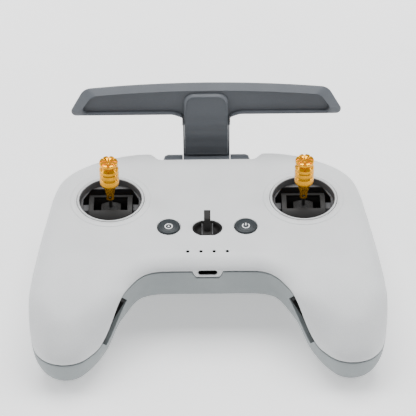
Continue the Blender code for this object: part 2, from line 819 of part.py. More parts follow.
def make_battery(cell_look, tray_look):
    cell_radius, cell_half, axis_drop = 9.2, 32.5, 36.4
    middles = (-6.0, 13.2)
    for name, y in zip(("near_battery_cell", "far_battery_cell"), middles):
        profile = [
            (0, -cell_half),
            (cell_radius - 0.8, -cell_half),
            (cell_radius, -cell_half + 0.8),
            (cell_radius, cell_half - 0.8),
            (cell_radius - 0.8, cell_half),
            (3, cell_half),
            (3, cell_half + 1.2),
            (0, cell_half + 1.2),
        ]
        add_object(name, turned(profile, 18, along_x(0, y, FACE_Z - axis_drop)), cell_look)
    low = FACE_Z - axis_drop - cell_radius - 0.8
    tray = add_object(
        "battery_tray", box((-36, -16.2, low), (36, 23.4, FACE_Z - axis_drop + 2)), tray_look
    )
    for y in middles:
        room = rod(cell_radius + GAP, -cell_half - 1.6, cell_half + 1.6, 18)
        room.transform(along_x(0, y, FACE_Z - axis_drop))
        top = box((-34.1, y - 9.5, FACE_Z - axis_drop), (34.1, y + 9.5, FACE_Z))
        cut(tray, room, top)
    return tray


def make_screw(name, x, y, look):
    low = rear_height(x, y) + 2.2
    profile = [(0, 0), (2.7, 0), (2.7, 1.9), (1.2, 1.9), (1.2, 15.5), (0, 15.5)]
    screw = add_object(name, turned(profile, 14, at(x, y, low)), look)
    for half_x, half_y in ((1.4, 0.35), (0.35, 1.4)):
        cut(screw, box((-half_x, -half_y, -1), (half_x, half_y, 1), at(x, y, low)))
    return screw


def make_plug(name, x, look):
    profile = [(0, 0.6), (4.9, 0.6), (4.9, 2.4), (6.2, 2.4), (6.2, 3.4), (0, 3.4)]
    return add_object(name, turned(profile, 18, at(x, 4, 0)), look)


# --- Shoulder controls ---------------------------------------------------------------------------


def make_shoulder_button(name, x, look):
    place = shoulder_place(x)
    radius = SHOULDER_BUTTON_RADIUS
    profile = [
        (0, 1.7),
        (radius - 1.2, 1.6),
        (radius, 0.9),
        (radius, -5.6),
        (radius + 0.8, -5.6),
        (radius + 0.8, -6.4),
        (0, -6.4),
    ]
    return add_object(name, turned(profile, 18, place), look, place.translation)


def make_shoulder_switch(name, x, half_x, look):
    place = shoulder_place(x)
    knob = [(-half_x, -1.4), (half_x, -1.4), (half_x, 1.2), (half_x - 0.9, 1.9)]
    knob += [(half_x * 0.3, 1.3), (-half_x * 0.3, 1.3), (1.1 - half_x, 1.9), (-half_x, 1.2)]
    across = place @ Matrix(((1, 0, 0, 0), (0, 0, -1, 0), (0, 1, 0, 0), (0, 0, 0, 1)))
    switch = add_object(name, prism(knob, -2, 2, across), look, place.translation)
    neck = box((-half_x + 0.4, -1.6, -5.9), (half_x - 0.4, 1.6, -1.3), place)
    flange = box((-half_x - 0.6, -2.6, -7.1), (half_x + 0.6, 2.6, -5.7), place)
    return join(switch, neck, flange)


def make_dial(look, axle_look):
    place = shoulder_place(DIAL_X) @ at(0, 0, -6.2)
    ribs = 20
    rim = []
    for i in range(2 * ribs):
        radius = DIAL_RADIUS - (0.45 if i % 2 else 0.0)
        rim += [(radius * cos(pi * i / ribs), radius * sin(pi * i / ribs))]
    upright = at(*place.translation)
    pivot = place.translation
    half = DIAL_HALF_WIDTH
    dial = add_object("tilt_dial", prism(rim, -half, half, upright), look, pivot)
    cut(dial, rod(1.8, -6, 6, 14, upright))
    axle = rod(1.5, -half - 1.5, half + 1.5, 12, upright)
    return add_object("dial_axle", axle, axle_look)


# --- Folding antenna -----------------------------------------------------------------------------


def antenna_place():
    """Antenna frame: local X stays X, local Y runs up the arm (s), local Z faces the user (h)."""
    return at(0, HINGE_Y, FACE_Z - HINGE_DROP) @ Matrix.Rotation(radians(ARM_LEAN), 4, "X")


def wing_half(end_inset, top_inset, bottom_inset, foot):
    """Right half of the wing with its flat fillet into the stem, as (x, s, corner radius)."""
    bottom = WING_BOTTOM + bottom_inset
    stem = STEM_HALF + foot
    tip = WING_HALF - end_inset
    shoulder = tip - 9.4 + 0.25 * end_inset
    crest = [(x, WING_TOP - ARCH * x * x - top_inset, 0) for x in (42.0, 20.0, 0.0)]
    return [
        (stem, bottom - 6.6, 0),
        (stem, bottom - 1.9, 1.4),
        (stem + 5.2, bottom, 9.0),
        (tip, bottom, 2.6),
        (shoulder, WING_TOP - ARCH * shoulder**2 - top_inset, 7.0),
        *crest,
    ]


def wing_outline(end_inset=0.0, top_inset=0.0, bottom_inset=0.0, foot=0.0, tail=()):
    """Closed outline of the wing; tail adds corners of the left and right stem sides below it."""
    half = list(tail) + wing_half(end_inset, top_inset, bottom_inset, foot)
    other = [(-x, s, r) for x, s, r in half[-2::-1]]
    return rounded(half + other, 4)


def make_antenna(looks):
    place = antenna_place()
    axis = place.translation
    arm = add_object(
        "antenna_arm",
        prism(wing_outline(tail=[(STEM_HALF, 1.5, 0)]), WING_BACK, 0, place),
        looks["dark"],
        axis,
    )
    barrel = rod(BARREL_RADIUS, -STEM_HALF, STEM_HALF, 24)
    barrel.transform(along_x(*axis))
    bore = rod(PIN_RADIUS + GAP, -30, 30, 16)
    bore.transform(along_x(*axis))
    pocket = rounded([(-60, 35, 1.5), (60, 35, 1.5), (56, 42, 1.5), (-56, 42, 1.5)])
    join(arm, barrel)
    cut(arm, prism(pocket, WING_BACK + 1.4, 1, place), box((-9, 9, -2.6), (9, 36, 1), place), bore)

    # The cover is one lofted block whose upper edge and ends slope back from the front panel.
    outer = wing_outline(foot=GAP)
    panel = wing_outline(end_inset=5.8, top_inset=3.4, bottom_inset=1.4, foot=GAP)
    levels = ((outer, GAP), (outer, WING_CREST), (panel, PANEL_RISE))
    cover = loft([[(x, s, h) for x, s in outline] for outline, h in levels], place)
    cover = add_object("antenna_cover", cover, looks["dark"], axis)
    cut(cover, prism(pocket, -1, PANEL_RISE - 1.6, place))
    # The stem's tongue fills the throat between the cover's two fillets.
    cut(cover, box((-STEM_HALF, 20, -1), (STEM_HALF, WING_BOTTOM, 9), place))

    side_view = [(7.0, GAP), (7.0, 1.5), (14.0, 2.0), (22.0, 3.9), (29.0, 6.0), (34.0, TONGUE_RISE)]
    side_view += [(TONGUE_TOP + 1, TONGUE_RISE), (TONGUE_TOP + 1, PANEL_RISE + GAP)]
    side_view += [(WING_BOTTOM - GAP, 6.0)]
    side_view += [(WING_BOTTOM - GAP, GAP)]
    sideways = place @ Matrix(((0, 0, 1, 0), (1, 0, 0, 0), (0, 1, 0, 0), (0, 0, 0, 1)))
    tongue = add_object(
        "antenna_tongue", prism(side_view, -TONGUE_HALF, TONGUE_HALF, sideways), looks["tongue"], axis
    )
    front_view = rounded(
        [(-TONGUE_HALF, 0, 0), (TONGUE_HALF, 0, 0), (TONGUE_HALF, TONGUE_TOP, 5.4)]
        + [(-TONGUE_HALF, TONGUE_TOP, 5.4)]
    )
    combine(tongue, "INTERSECT", prism(front_view, -5, 12, place))

    for name, side in (("left", -1), ("right", 1)):
        xs = sorted((side * 12, side * 56))
        element = box((xs[0], 35.8, 0.6), (xs[1], 41.2, 1.4), place)
        add_object(f"{name}_antenna_element", element, looks["board"], axis)
        lead = [(side * 20, 37, -0.5), (side * 9, 36.6, -1.2), (side * 4, 32, -1.5)]
        lead += [(side * 3, 24, -1.5), (side * 3, 10, -1.5)]
        add_lead(f"{name}_antenna_lead", lead, 0.7, place, looks["cable"])


def add_lead(name, route, radius, place, look):
    """Thin cable along a smooth curve through the route's points."""
    data = bpy.data.curves.new(name, "CURVE")
    data.dimensions = "3D"
    data.bevel_depth = radius * METRES
    data.bevel_resolution = 1
    data.use_fill_caps = True
    points = spline(route, 3)
    line = data.splines.new("POLY")
    line.points.add(len(points) - 1)
    for target, point in zip(line.points, points):
        target.co = (*(place @ Vector(point) * METRES), 1.0)
    data.materials.append(look)
    made = bpy.data.objects.new(name, data)
    bpy.context.scene.collection.objects.link(made)
    return made


def make_hinge_base(look):
    x, y, z = antenna_place().translation
    inner = STEM_HALF + 0.4
    base = add_object(
        "antenna_hinge_base",
        box((-KNUCKLE_OUTER_X, 30.5, z - 6), (KNUCKLE_OUTER_X, 35.5, z + 4.2)),
        look,
    )
    for side in (-1, 1):
        profile = [
            (0, inner),
            (BARREL_RADIUS, inner),
            (BARREL_RADIUS, KNUCKLE_OUTER_X - 2.4),
            (BARREL_RADIUS - 0.7, KNUCKLE_OUTER_X - 0.7),
            (BARREL_RADIUS - 2.4, KNUCKLE_OUTER_X),
            (0, KNUCKLE_OUTER_X),
        ]
        turn = Matrix.Rotation(radians(90 * side), 4, "Y")
        join(base, turned(profile, 24, at(x, y, z) @ turn))
        ends = sorted((side * inner, side * (KNUCKLE_OUTER_X - 0.2)))
        join(base, box((ends[0], 35, z - 5.4), (ends[1], y, z + 3.4)))
    bore = rod(PIN_RADIUS + 0.15, 1 - KNUCKLE_OUTER_X, KNUCKLE_OUTER_X - 1, 16)
    bore.transform(along_x(x, y, z))
    return cut(base, bore)


def make_hinge_pin(look):
    pin = rod(PIN_RADIUS, 1.3 - KNUCKLE_OUTER_X, KNUCKLE_OUTER_X - 1.3, 14)
    pin.transform(along_x(*antenna_place().translation))
    return add_object("antenna_hinge_pin", pin, look)


# --- Assembly ------------------------------------------------------------------------------------


def main():
    for old in list(bpy.data.objects):
        bpy.data.objects.remove(old, do_unlink=True)
    pale = material("pale_grey_plastic", (0.61, 0.62, 0.63), 0.5)
    grey = material("grey_plastic", (0.36, 0.39, 0.39), 0.5)
    black = material("black_plastic", (0.035, 0.033, 0.031), 0.55)
    gold = material("gold_anodised", (0.75, 0.42, 0.02), 0.22, 1.0)
    steel = material("steel", (0.55, 0.55, 0.56), 0.3, 1.0)
    slate = material("slate_plastic", (0.11, 0.12, 0.13), 0.45)
    rubber = material("black_rubber", (0.02, 0.02, 0.02), 0.8)
    board = material("green_board", (0.02, 0.12, 0.06), 0.5)
    wrap = material("battery_wrap", (0.05, 0.12, 0.3), 0.4)
    lamp = material("dark_lens", (0.01, 0.01, 0.01), 0.2)
    cable = material("cable_jacket", (0.02, 0.02, 0.02), 0.6)

    make_front_shell(pale)
    make_rear_shell(grey)
    for name, side in (("left", -1), ("right", 1)):
        x = side * STICK_X
        make_bezel(f"{name}_stick_bezel", x, pale)
        make_housing(f"{name}_gimbal_housing", x, black)
        make_yoke(f"{name}_gimbal_yoke", x, black)
        make_rocker(f"{name}_gimbal_rocker", x, black)
        make_stem(f"{name}_stick_stem", x, gold)
        make_crown(f"{name}_stick_crown", x, gold)
        make_grub_screw(f"{name}_grub_screw", x, steel)
        make_liner(f"{name}_storage_liner", side, rubber)
        make_plug(f"{name}_adjuster_plug", x, rubber)
        for place, (screw_x, y) in zip(("far", "grip"), SCREW_PLACES):
            make_screw(f"{name}_{place}_case_screw", side * screw_x, y, steel)
    make_face_button("custom_button", -BUTTON_X, slate)
    make_face_button("power_button", BUTTON_X, slate)
    make_lanyard_cup(black)
    make_lanyard_hook(black)
    for i in range(4):
        make_light(f"status_light_{i + 1}", (i - 1.5) * LIGHT_PITCH, lamp)
    make_usb(steel, black)
    make_boards(board, steel)
    make_battery(wrap, black)
    for name, x in SHOULDER_BUTTONS.items():
        make_shoulder_button(name, x, slate)
    make_shoulder_switch("custom_switch", CUSTOM_SWITCH_X, 3.0, slate)
    make_shoulder_switch("mode_switch", MODE_SWITCH_X, 3.0, slate)
    make_dial(slate, steel)
    make_antenna({"dark": slate, "tongue": slate, "board": board, "cable": cable})
    make_hinge_base(slate)
    make_hinge_pin(steel)


main()
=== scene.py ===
"""Looks of the hand-held radio transmitter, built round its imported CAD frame.

Shapes are written in millimetres in the frame of the CAD part (+Z out of the control face, +Y
towards the antenna) and turned into metres by add_piece(). The two shells follow the same outline
and height rules as the CAD part, at a finer step, with rounded rims. Mechanical pieces whose shape
is already right are taken from the frame and get softened edges.
"""

from math import atan2, cos, pi, radians, sin, tan

import bmesh
import bpy
from mathutils import Matrix, Vector
from mathutils.geometry import delaunay_2d_cdt


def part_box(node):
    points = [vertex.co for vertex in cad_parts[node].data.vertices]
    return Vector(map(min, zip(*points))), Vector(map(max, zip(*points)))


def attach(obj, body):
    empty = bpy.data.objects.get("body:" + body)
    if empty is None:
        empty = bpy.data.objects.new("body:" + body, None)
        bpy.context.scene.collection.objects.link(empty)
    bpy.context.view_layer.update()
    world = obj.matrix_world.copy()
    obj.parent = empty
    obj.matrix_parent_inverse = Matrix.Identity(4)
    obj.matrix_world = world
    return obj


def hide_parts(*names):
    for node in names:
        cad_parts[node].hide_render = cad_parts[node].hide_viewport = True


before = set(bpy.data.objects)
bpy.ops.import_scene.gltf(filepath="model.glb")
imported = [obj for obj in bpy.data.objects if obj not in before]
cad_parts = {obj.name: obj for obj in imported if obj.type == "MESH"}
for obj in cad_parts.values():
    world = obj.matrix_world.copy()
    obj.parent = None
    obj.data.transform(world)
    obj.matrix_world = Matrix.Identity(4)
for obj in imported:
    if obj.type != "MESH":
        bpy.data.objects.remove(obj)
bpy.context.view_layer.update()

MM = 0.001
GAP = 0.3

# Body shells, as in the CAD part
FACE_Z = 49.0
WALL = 2.0
SEAM_DROP = 5.5
SEAM_LAND = 0.8
SEAM_GAP = 0.8
SEAM_ROUND = 0.35  # rounding of the shells' edges at the seam
FRONT_Y = -50.3
FAR_Y = 42.3
EDGE_INSET = 9.0
GRIP_EDGE_INSET = 17.0
REAR_INSET = 12.0
GRIP_START_Y = -40.0
GRIP_END_Y = -96.5
FACE_DROOP = 19.0
DROOP_POWER = 1.7
HALF_OUTLINE = (
    (0.0, FRONT_Y), (5.4, FRONT_Y), (8.1, FRONT_Y), (18.0, FRONT_Y),
    (28.0, -50.8), (35.0, -53.8), (40.8, -60.0), (46.2, -69.0),
    (52.6, -79.5), (60.2, -89.0), (67.0, -94.8), (76.0, -96.5),
    (85.0, -93.6), (91.0, -86.0), (93.5, -75.0), (93.0, -60.0),
    (91.0, -42.0), (88.4, -22.0), (86.0, -5.0), (83.9, 8.0),
    (80.0, 20.0), (72.0, 29.0), (61.0, 35.6), (50.0, 39.8),
    (39.0, 42.0), (30.0, 42.3), (25.0, FAR_Y), (0.0, FAR_Y),
)
SEAM_DROPS = (
    (-110.0, 29.2), (-88.0, 28.8), (-64.0, 8.4),
    (-48.0, 6.7), (-20.0, SEAM_DROP), (60.0, SEAM_DROP),
)
NOTCH_DEPTH = 7.8
NOTCH_HALF = 25.0
NOTCH_END = 32.0
PAD_NEAR_Y = -16.5
PAD_FAR_Y = 24.0
GRIP_FOOT_Y = -76.0
REAR_DROPS = (
    (-110.0, FACE_Z), (GRIP_FOOT_Y, FACE_Z), (-60.0, 39.0), (-46.0, 32.0),
    (-36.0, 32.5), (PAD_NEAR_Y, FACE_Z), (PAD_FAR_Y, FACE_Z), (46.0, 33.0),
)
TAB_HALF_BOTTOM = 5.4
TAB_HALF_TOP = 8.1
TAB_DEPTH = 4.2
USB_DROP = 7.4
USB_HALF_X = 5.15
USB_HALF_Z = 1.6

# Controls
STICK_X = 52.6
STICK_HOLE_RADIUS = 16.7
BEZEL_RADIUS = 18.25
PIVOT_DROP = 17.0
ROCKER_RADIUS = 12.5
COLLAR_RISE = 0.7
COLLAR_STEPS = (19.6, 21.8)
COLLAR_STEP_DEPTH = 0.25
COLLAR_FLAT_RADIUS = 20.6
COLLAR_FOOT_RADIUS = 26.0
BUTTON_X = 20.7
BUTTON_Y = -22.0
BUTTON_RADIUS = 6.0
LANYARD_Y = -23.2
LANYARD_HALF_X = 7.9
LANYARD_HALF_Y = 6.3
LIGHT_Y = -41.5
LIGHT_PITCH = 7.0
LIGHT_XS = tuple((i - 1.5) * LIGHT_PITCH for i in range(4))
LIGHT_RADIUS = 0.8

# Antenna, in its own frame: s runs up the arm from the hinge axis, h towards the user
HINGE_Y = 42.0
HINGE_DROP = 11.2
ARM_LEAN = 75.0
BARREL_RADIUS = 6.0
STEM_HALF = 13.05
TONGUE_HALF = 12.4
WING_BOTTOM = 32.3
WING_TOP = 51.4
WING_HALF = 77.0
WING_BACK = -4.0
ARCH = 0.00069  # fall of the wing's upper edge per square millimetre from the middle
WING_CREST = 1.9
PANEL_RISE = 5.7
PANEL_SINK = 2.6
TONGUE_RISE = 7.0
TONGUE_TOP = 46.2

# Shoulder controls
SHOULDER_DROP = 17.0
SHOULDER_BUTTONS = {"pause_button": -49.5, "start_button": 51.0, "record_button": 64.5}
SHOULDER_BUTTON_RADIUS = 4.5
# Slots in the far wall: X, half length along the wall, half height
SHOULDER_SLOTS = ((-66.0, 10.2, 4.0), (-37.5, 5.0, 2.4), (38.0, 6.2, 2.4))
SCREW_PLACES = ((31.5, 30.5), (74.0, -66.0))
SCREW_WELL_RADIUS = 3.1
PLUG_RADIUS = 5.3
PLUG_Y = 4.0
QUARTERS = ((-1, -1), (1, -1), (1, 1), (-1, 1))

# Camera and light
CAMERA_ELEVATION = 41.5
CAMERA_DISTANCE = 1036.0
CAMERA_LENS = 164.4
CAMERA_ROLL = -0.56
CAMERA_AIM = (0.5, -3.2, 45.4)
FLOOR_SIZE = 12000.0
FLOOR_DROP = 0.2


# --- Small maths ---------------------------------------------------------------------------------


def blend(low, high, value):
    """Smooth step from 0 at low to 1 at high."""
    t = min(max((value - low) / (high - low), 0.0), 1.0)
    return t * t * (3 - 2 * t)


def along(stations, value):
    """Smooth value at a place along a list of (place, value) stations."""
    for (start, first), (end, second) in zip(stations, stations[1:]):
        if value <= end:
            return first + (second - first) * blend(start, end, value)
    return stations[-1][1]


def arc(centre, radius, start, end, steps):
    """Points of an arc, from the start angle to the end angle in degrees."""
    turn = [radians(start + (end - start) * i / steps) for i in range(steps + 1)]
    return [(centre[0] + radius * cos(a), centre[1] + radius * sin(a)) for a in turn]


def ellipse(half_x, half_y, steps):
    turn = [2 * pi * i / steps for i in range(steps)]
    return [(half_x * cos(a), half_y * sin(a)) for a in turn]


def circle(radius, steps):
    return ellipse(radius, radius, steps)


def rounded(corners, steps=6):
    """Closed outline through (x, y, radius) corners, each corner rounded by an arc."""
    points = []
    for i, (x, y, radius) in enumerate(corners):
        corner = Vector((x, y))
        to_last = (Vector(corners[i - 1][:2]) - corner).normalized()
        to_next = (Vector(corners[(i + 1) % len(corners)][:2]) - corner).normalized()
        if radius == 0:
            points.append((x, y))
            continue
        half = to_last.angle(to_next) / 2
        middle = corner + (to_last + to_next).normalized() * (radius / sin(half))
        first = corner + to_last * (radius / tan(half)) - middle
        last = corner + to_next * (radius / tan(half)) - middle
        start = atan2(first.y, first.x)
        sweep = (atan2(last.y, last.x) - start + pi) % (2 * pi) - pi
        for step in range(steps + 1):
            angle = start + sweep * step / steps
            points.append((middle.x + radius * cos(angle), middle.y + radius * sin(angle)))
    return points


def spline(points, per_stretch):
    """Catmull-Rom curve through an open list of points, ends included."""
    ends = [points[0], *points, points[-1]]
    curve = []
    for i in range(len(points) - 1):
        a, b, c, d = (Vector(p) for p in ends[i : i + 4])
        for step in range(per_stretch):
            t = step / per_stretch
            bend = 2 * b + (c - a) * t
            bend += (2 * a - 5 * b + 4 * c - d) * t**2 + (3 * b - a - 3 * c + d) * t**3
            curve.append(tuple(0.5 * bend))
    return curve + [tuple(points[-1])]


def inset(outline, distance):
    """The outline moved inwards; distance is a number or a function of Y."""
    far = distance if callable(distance) else lambda y: distance
    moved = []
    for i, (x, y) in enumerate(outline):
        before, after = outline[i - 1], outline[(i + 1) % len(outline)]
        run = Vector((after[0] - before[0], after[1] - before[1])).normalized()
        moved.append((x - run.y * far(y), y + run.x * far(y)))
    return moved


# --- Meshes --------------------------------------------------------------------------------------


def at(x, y, z):
    return Matrix.Translation((x, y, z))


def along_x(x, y, z):
    """Local Z turned to point along +X."""
    return at(x, y, z) @ Matrix.Rotation(radians(90), 4, "Y")


def along_y(x, y, z):
    """Local Z turned to point along +Y."""
    return at(x, y, z) @ Matrix.Rotation(radians(-90), 4, "X")


def bridge(mesh, lower, upper):
    """Quads between two rings of vertices."""
    for i in range(len(lower)):
        j = (i + 1) % len(lower)
        mesh.faces.new((lower[i], lower[j], upper[j], upper[i]))


def loft(loops, place=None, closed_ring=False):
    """Solid through loops of points of equal count, capped at both ends or closed on itself."""
    mesh = bmesh.new()
    rings = [[mesh.verts.new(point) for point in loop] for loop in loops]
    pairs = list(zip(rings, rings[1:]))
    if closed_ring:
        pairs.append((rings[-1], rings[0]))
    for lower, upper in pairs:
        bridge(mesh, lower, upper)
    if not closed_ring:
        mesh.faces.new(rings[0][::-1])
        mesh.faces.new(rings[-1])
    if place:
        mesh.transform(place)
    return mesh


def prism(outline, low, high, place=None):
    return loft([[(x, y, z) for x, y in outline] for z in (low, high)], place)


def box(low, high, place=None):
    (x0, y0, z0), (x1, y1, z1) = low, high
    return prism([(x0, y0), (x1, y0), (x1, y1), (x0, y1)], z0, z1, place)


def turned(profile, steps, place=None):
    """Solid turned about local Z from (radius, height) points, a ring if it stays off the axis."""
    on_axis = profile[0][0] == 0 and profile[-1][0] == 0
    inner = profile[1:-1] if on_axis else profile
    loops = [[(x, y, h) for x, y in circle(r, steps)] for r, h in inner]
    return loft(loops, place, closed_ring=not on_axis)


def flare(fillet, steps=5):
    """(outwards, height) points of a rounded rim that ends just short of level."""
    return [(fillet - fillet * cos(radians(a)), fillet * sin(radians(a)) - fillet)
            for a in (80 * i / steps for i in range(steps + 1))]


def flared_hole(outline, fillet, depth, rise, place=None):
    """Cutter for a hole of this outline with a rounded rim at height 0."""
    loops = [[(x, y, -depth) for x, y in outline]]
    for out, height in flare(fillet):
        loops.append([(x, y, height) for x, y in inset(outline, -out)])
    loops.append([(x, y, rise) for x, y in inset(outline, -fillet - rise)])
    return loft(loops, place)


def capped(rings, height, spacing, mesh):
    """Rings of points joined by quads, the last one filled with a net that follows height(x, y)."""
    loops = [[mesh.verts.new(point) for point in ring] for ring in rings]
    for lower, upper in zip(loops, loops[1:]):
        bridge(mesh, lower, upper)
    edge = loops[-1]
    flat = [Vector((v.co.x, v.co.y)) for v in edge]
    low = [min(p[axis] for p in flat) for axis in (0, 1)]
    high = [max(p[axis] for p in flat) for axis in (0, 1)]
    across = int((high[0] - low[0]) / spacing)
    up = int((high[1] - low[1]) / spacing)
    net = [
        Vector((low[0] + (i + 0.5) * spacing, low[1] + (j + 0.5) * spacing))
        for i in range(across)
        for j in range(up)
    ]
    clear = [p for p in net if all((p - q).length_squared > (0.4 * spacing) ** 2 for q in flat)]
    rim = [(i, (i + 1) % len(flat)) for i in range(len(flat))]
    places, _, faces, origins, _, _ = delaunay_2d_cdt(flat + clear, rim, [], 1, 1e-6)
    verts = []
    for point, origin in zip(places, origins):
        known = [i for i in origin if i < len(edge)]
        verts.append(
            edge[known[0]] if known else mesh.verts.new((point.x, point.y, height(point.x, point.y)))
        )
    for face in faces:
        mesh.faces.new([verts[i] for i in face])
    return loops[0]


def evaluated(target):
    """Apply the object's modifiers."""
    graph = bpy.context.evaluated_depsgraph_get()
    mesh = bpy.data.meshes.new_from_object(target.evaluated_get(graph))
    target.modifiers.clear()
    old = target.data
    target.data = mesh
    bpy.data.meshes.remove(old)


def linked(name, data):
    made = bpy.data.objects.new(name, data)
    bpy.context.scene.collection.objects.link(made)
    return made


def as_object(name, mesh):
    bmesh.ops.recalc_face_normals(mesh, faces=mesh.faces)
    mesh.transform(Matrix.Scale(MM, 4))
    data = bpy.data.meshes.new(name)
    mesh.to_mesh(data)
    mesh.free()
    return linked(name, data)


def combine(target, operation, *meshes):
    """Booleans on the target, one for each mesh, applied at once."""
    tools = [as_object("tool", mesh) for mesh in meshes]
    for tool in tools:
        step = target.modifiers.new("step", "BOOLEAN")
        step.operation = operation
        step.object = tool
    evaluated(target)
    for tool in tools:
        old = tool.data
        bpy.data.objects.remove(tool)
        bpy.data.meshes.remove(old)
    return target


def cut(target, *meshes):
    return combine(target, "DIFFERENCE", *meshes)


def join(target, *meshes):
    return combine(target, "UNION", *meshes)


def soften(target, width, segments=2, angle=32):
    """Round the edges sharper than angle by width millimetres."""
    step = target.modifiers.new("round", "BEVEL")
    step.width = width * MM
    step.segments = segments
    step.limit_method = "ANGLE"
    step.angle_limit = radians(angle)
    step.harden_normals = False
    evaluated(target)
    return target


def finish_piece(target, look, body, replaces=(), sharp=40):
    """Shading, material and place on its body."""
    target.data.materials.clear()
    target.data.materials.append(look)
    target.data.shade_smooth()
    target.data.set_sharp_from_angle(angle=radians(sharp))
    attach(target, body)
    if replaces:
        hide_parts(*replaces)
    return target


def from_frame(node, name, width, segments=2):
    """A copy of a CAD node with its flat faces joined up and its edges rounded."""
    source = bmesh.new()
    source.from_mesh(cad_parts[node].data)
    bmesh.ops.remove_doubles(source, verts=source.verts, dist=1e-6)
    bmesh.ops.dissolve_limit(source, angle_limit=radians(1), verts=source.verts, edges=source.edges)
    data = bpy.data.meshes.new(name)
    source.to_mesh(data)
    source.free()
    return soften(linked(name, data), width, segments)


# --- Materials -----------------------------------------------------------------------------------


def new_look(name):
    look = bpy.data.materials.new(name)
    look.use_nodes = True
    return look, look.node_tree, look.node_tree.nodes["Principled BSDF"]


def object_space(tree):
    return tree.nodes.new("ShaderNodeTexCoord").outputs["Object"]


def vector_math(tree, operation, first, second=None):
    """Vector Math node; second may be an output or a fixed vector."""
    made = tree.nodes.new("ShaderNodeVectorMath")
    made.operation = operation
    tree.links.new(first, made.inputs[0])
    if isinstance(second, tuple):
        made.inputs[1].default_value = second
    elif second:
        tree.links.new(second, made.inputs[1])
    return made


def noise(tree, size_mm, detail=3.0, stretch=(1, 1, 1)):
    """Noise value of this grain size in object space."""
    spread = tree.nodes.new("ShaderNodeMapping")
    spread.inputs["Scale"].default_value = stretch
    tree.links.new(object_space(tree), spread.inputs["Vector"])
    made = tree.nodes.new("ShaderNodeTexNoise")
    made.inputs["Scale"].default_value = 1 / (size_mm * MM)
    made.inputs["Detail"].default_value = detail
    tree.links.new(spread.outputs["Vector"], made.inputs["Vector"])
    return made.outputs["Fac"]


def spread_value(tree, value, low, high, start=0.3, end=0.7):
    """The value mapped from start..end to low..high."""
    made = tree.nodes.new("ShaderNodeMapRange")
    made.inputs["From Min"].default_value = start
    made.inputs["From Max"].default_value = end
    made.inputs["To Min"].default_value = low
    made.inputs["To Max"].default_value = high
    tree.links.new(value, made.inputs["Value"])
    return made.outputs["Result"]


def mixed(tree, share, first, second):
    """Colour between two colours, each of them fixed or an output."""
    made = tree.nodes.new("ShaderNodeMix")
    made.data_type = "RGBA"
    tree.links.new(share, made.inputs[0])
    for socket, value in ((made.inputs[6], first), (made.inputs[7], second)):
        if isinstance(value, tuple):
            socket.default_value = (*value, 1.0)
        else:
            tree.links.new(value, socket)
    return made.outputs[2]


def edge_share(tree, radius_mm):
    """1 on sharp edges, fading to 0 on the flats."""
    soft = tree.nodes.new("ShaderNodeBevel")
    soft.samples = 4
    soft.inputs["Radius"].default_value = radius_mm * MM
    plain = tree.nodes.new("ShaderNodeNewGeometry")
    dot = vector_math(tree, "DOT_PRODUCT", soft.outputs["Normal"], plain.outputs["Normal"])
    return spread_value(tree, dot.outputs["Value"], 1.0, 0.0, 0.86, 0.995)


def bump(tree, shader, *layers):
    """Stack of (height output, depth in mm) layers into the shader's normal."""
    normal = None
    for height, depth in layers:
        made = tree.nodes.new("ShaderNodeBump")
        made.inputs["Strength"].default_value = 1.0
        made.inputs["Distance"].default_value = depth * MM
        tree.links.new(height, made.inputs["Height"])
        if normal:
            tree.links.new(normal, made.inputs["Normal"])
        normal = made.outputs["Normal"]
    tree.links.new(normal, shader.inputs["Normal"])


def shifted(colour, factor):
    return tuple(min(channel * factor, 1.0) for channel in colour)


def collar_step(tree, radius):
    """1 within this distance of a stick's centre and 0 beyond it: a faint moulded step."""
    mirrored = vector_math(tree, "ABSOLUTE", object_space(tree))
    centre = (STICK_X * MM, 0.0, FACE_Z * MM)
    away = vector_math(tree, "DISTANCE", mirrored.outputs[0], centre)
    near, far = (radius - 0.3) * MM, (radius + 0.3) * MM
    return spread_value(tree, away.outputs["Value"], 1.0, 0.0, near, far)


MOTTLE = 0.04  # how far a plastic's tone drifts either way


def plastic(name, colour, roughness, grain=0.35, depth=0.012, wear=1.0, specular=0.5, steps=()):
    """Moulded plastic: spark-eroded grain, faint flow mottling, handling marks and rubbed edges."""
    look, tree, shader = new_look(name)
    fine = noise(tree, grain, 2.0)
    cloud = noise(tree, 22.0, 4.0)
    smear = noise(tree, 7.0, 5.0, (1.0, 0.35, 1.0))
    share = spread_value(tree, cloud, 0.0, 1.0)
    tone = mixed(tree, share, shifted(colour, 1 - MOTTLE), shifted(colour, 1 + MOTTLE))
    dust = spread_value(tree, fine, 0.0, 0.5, 0.45, 0.75)
    speck = mixed(tree, dust, tone, shifted(colour, 1.25))
    rubbed = edge_share(tree, 0.5)
    scuff = tree.nodes.new("ShaderNodeMath")
    scuff.operation = "MULTIPLY"
    tree.links.new(rubbed, scuff.inputs[0])
    tree.links.new(spread_value(tree, smear, 0.0, 0.35 * wear, 0.35, 0.65), scuff.inputs[1])
    worn = mixed(tree, scuff.outputs[0], speck, shifted(colour, 1.7))
    tree.links.new(worn, shader.inputs["Base Color"])
    rough = spread_value(tree, smear, roughness - 0.06, roughness + 0.06)
    tree.links.new(rough, shader.inputs["Roughness"])
    shader.inputs["Specular IOR Level"].default_value = specular
    relief = [(collar_step(tree, radius), COLLAR_STEP_DEPTH) for radius in steps]
    bump(tree, shader, (fine, depth), (cloud, 0.02), *relief)
    return look


GOLD_DEEP = (0.72, 0.31, 0.0)
GOLD_BRIGHT = (0.92, 0.41, 0.0)
GOLD_WORN = (1.0, 0.52, 0.0)


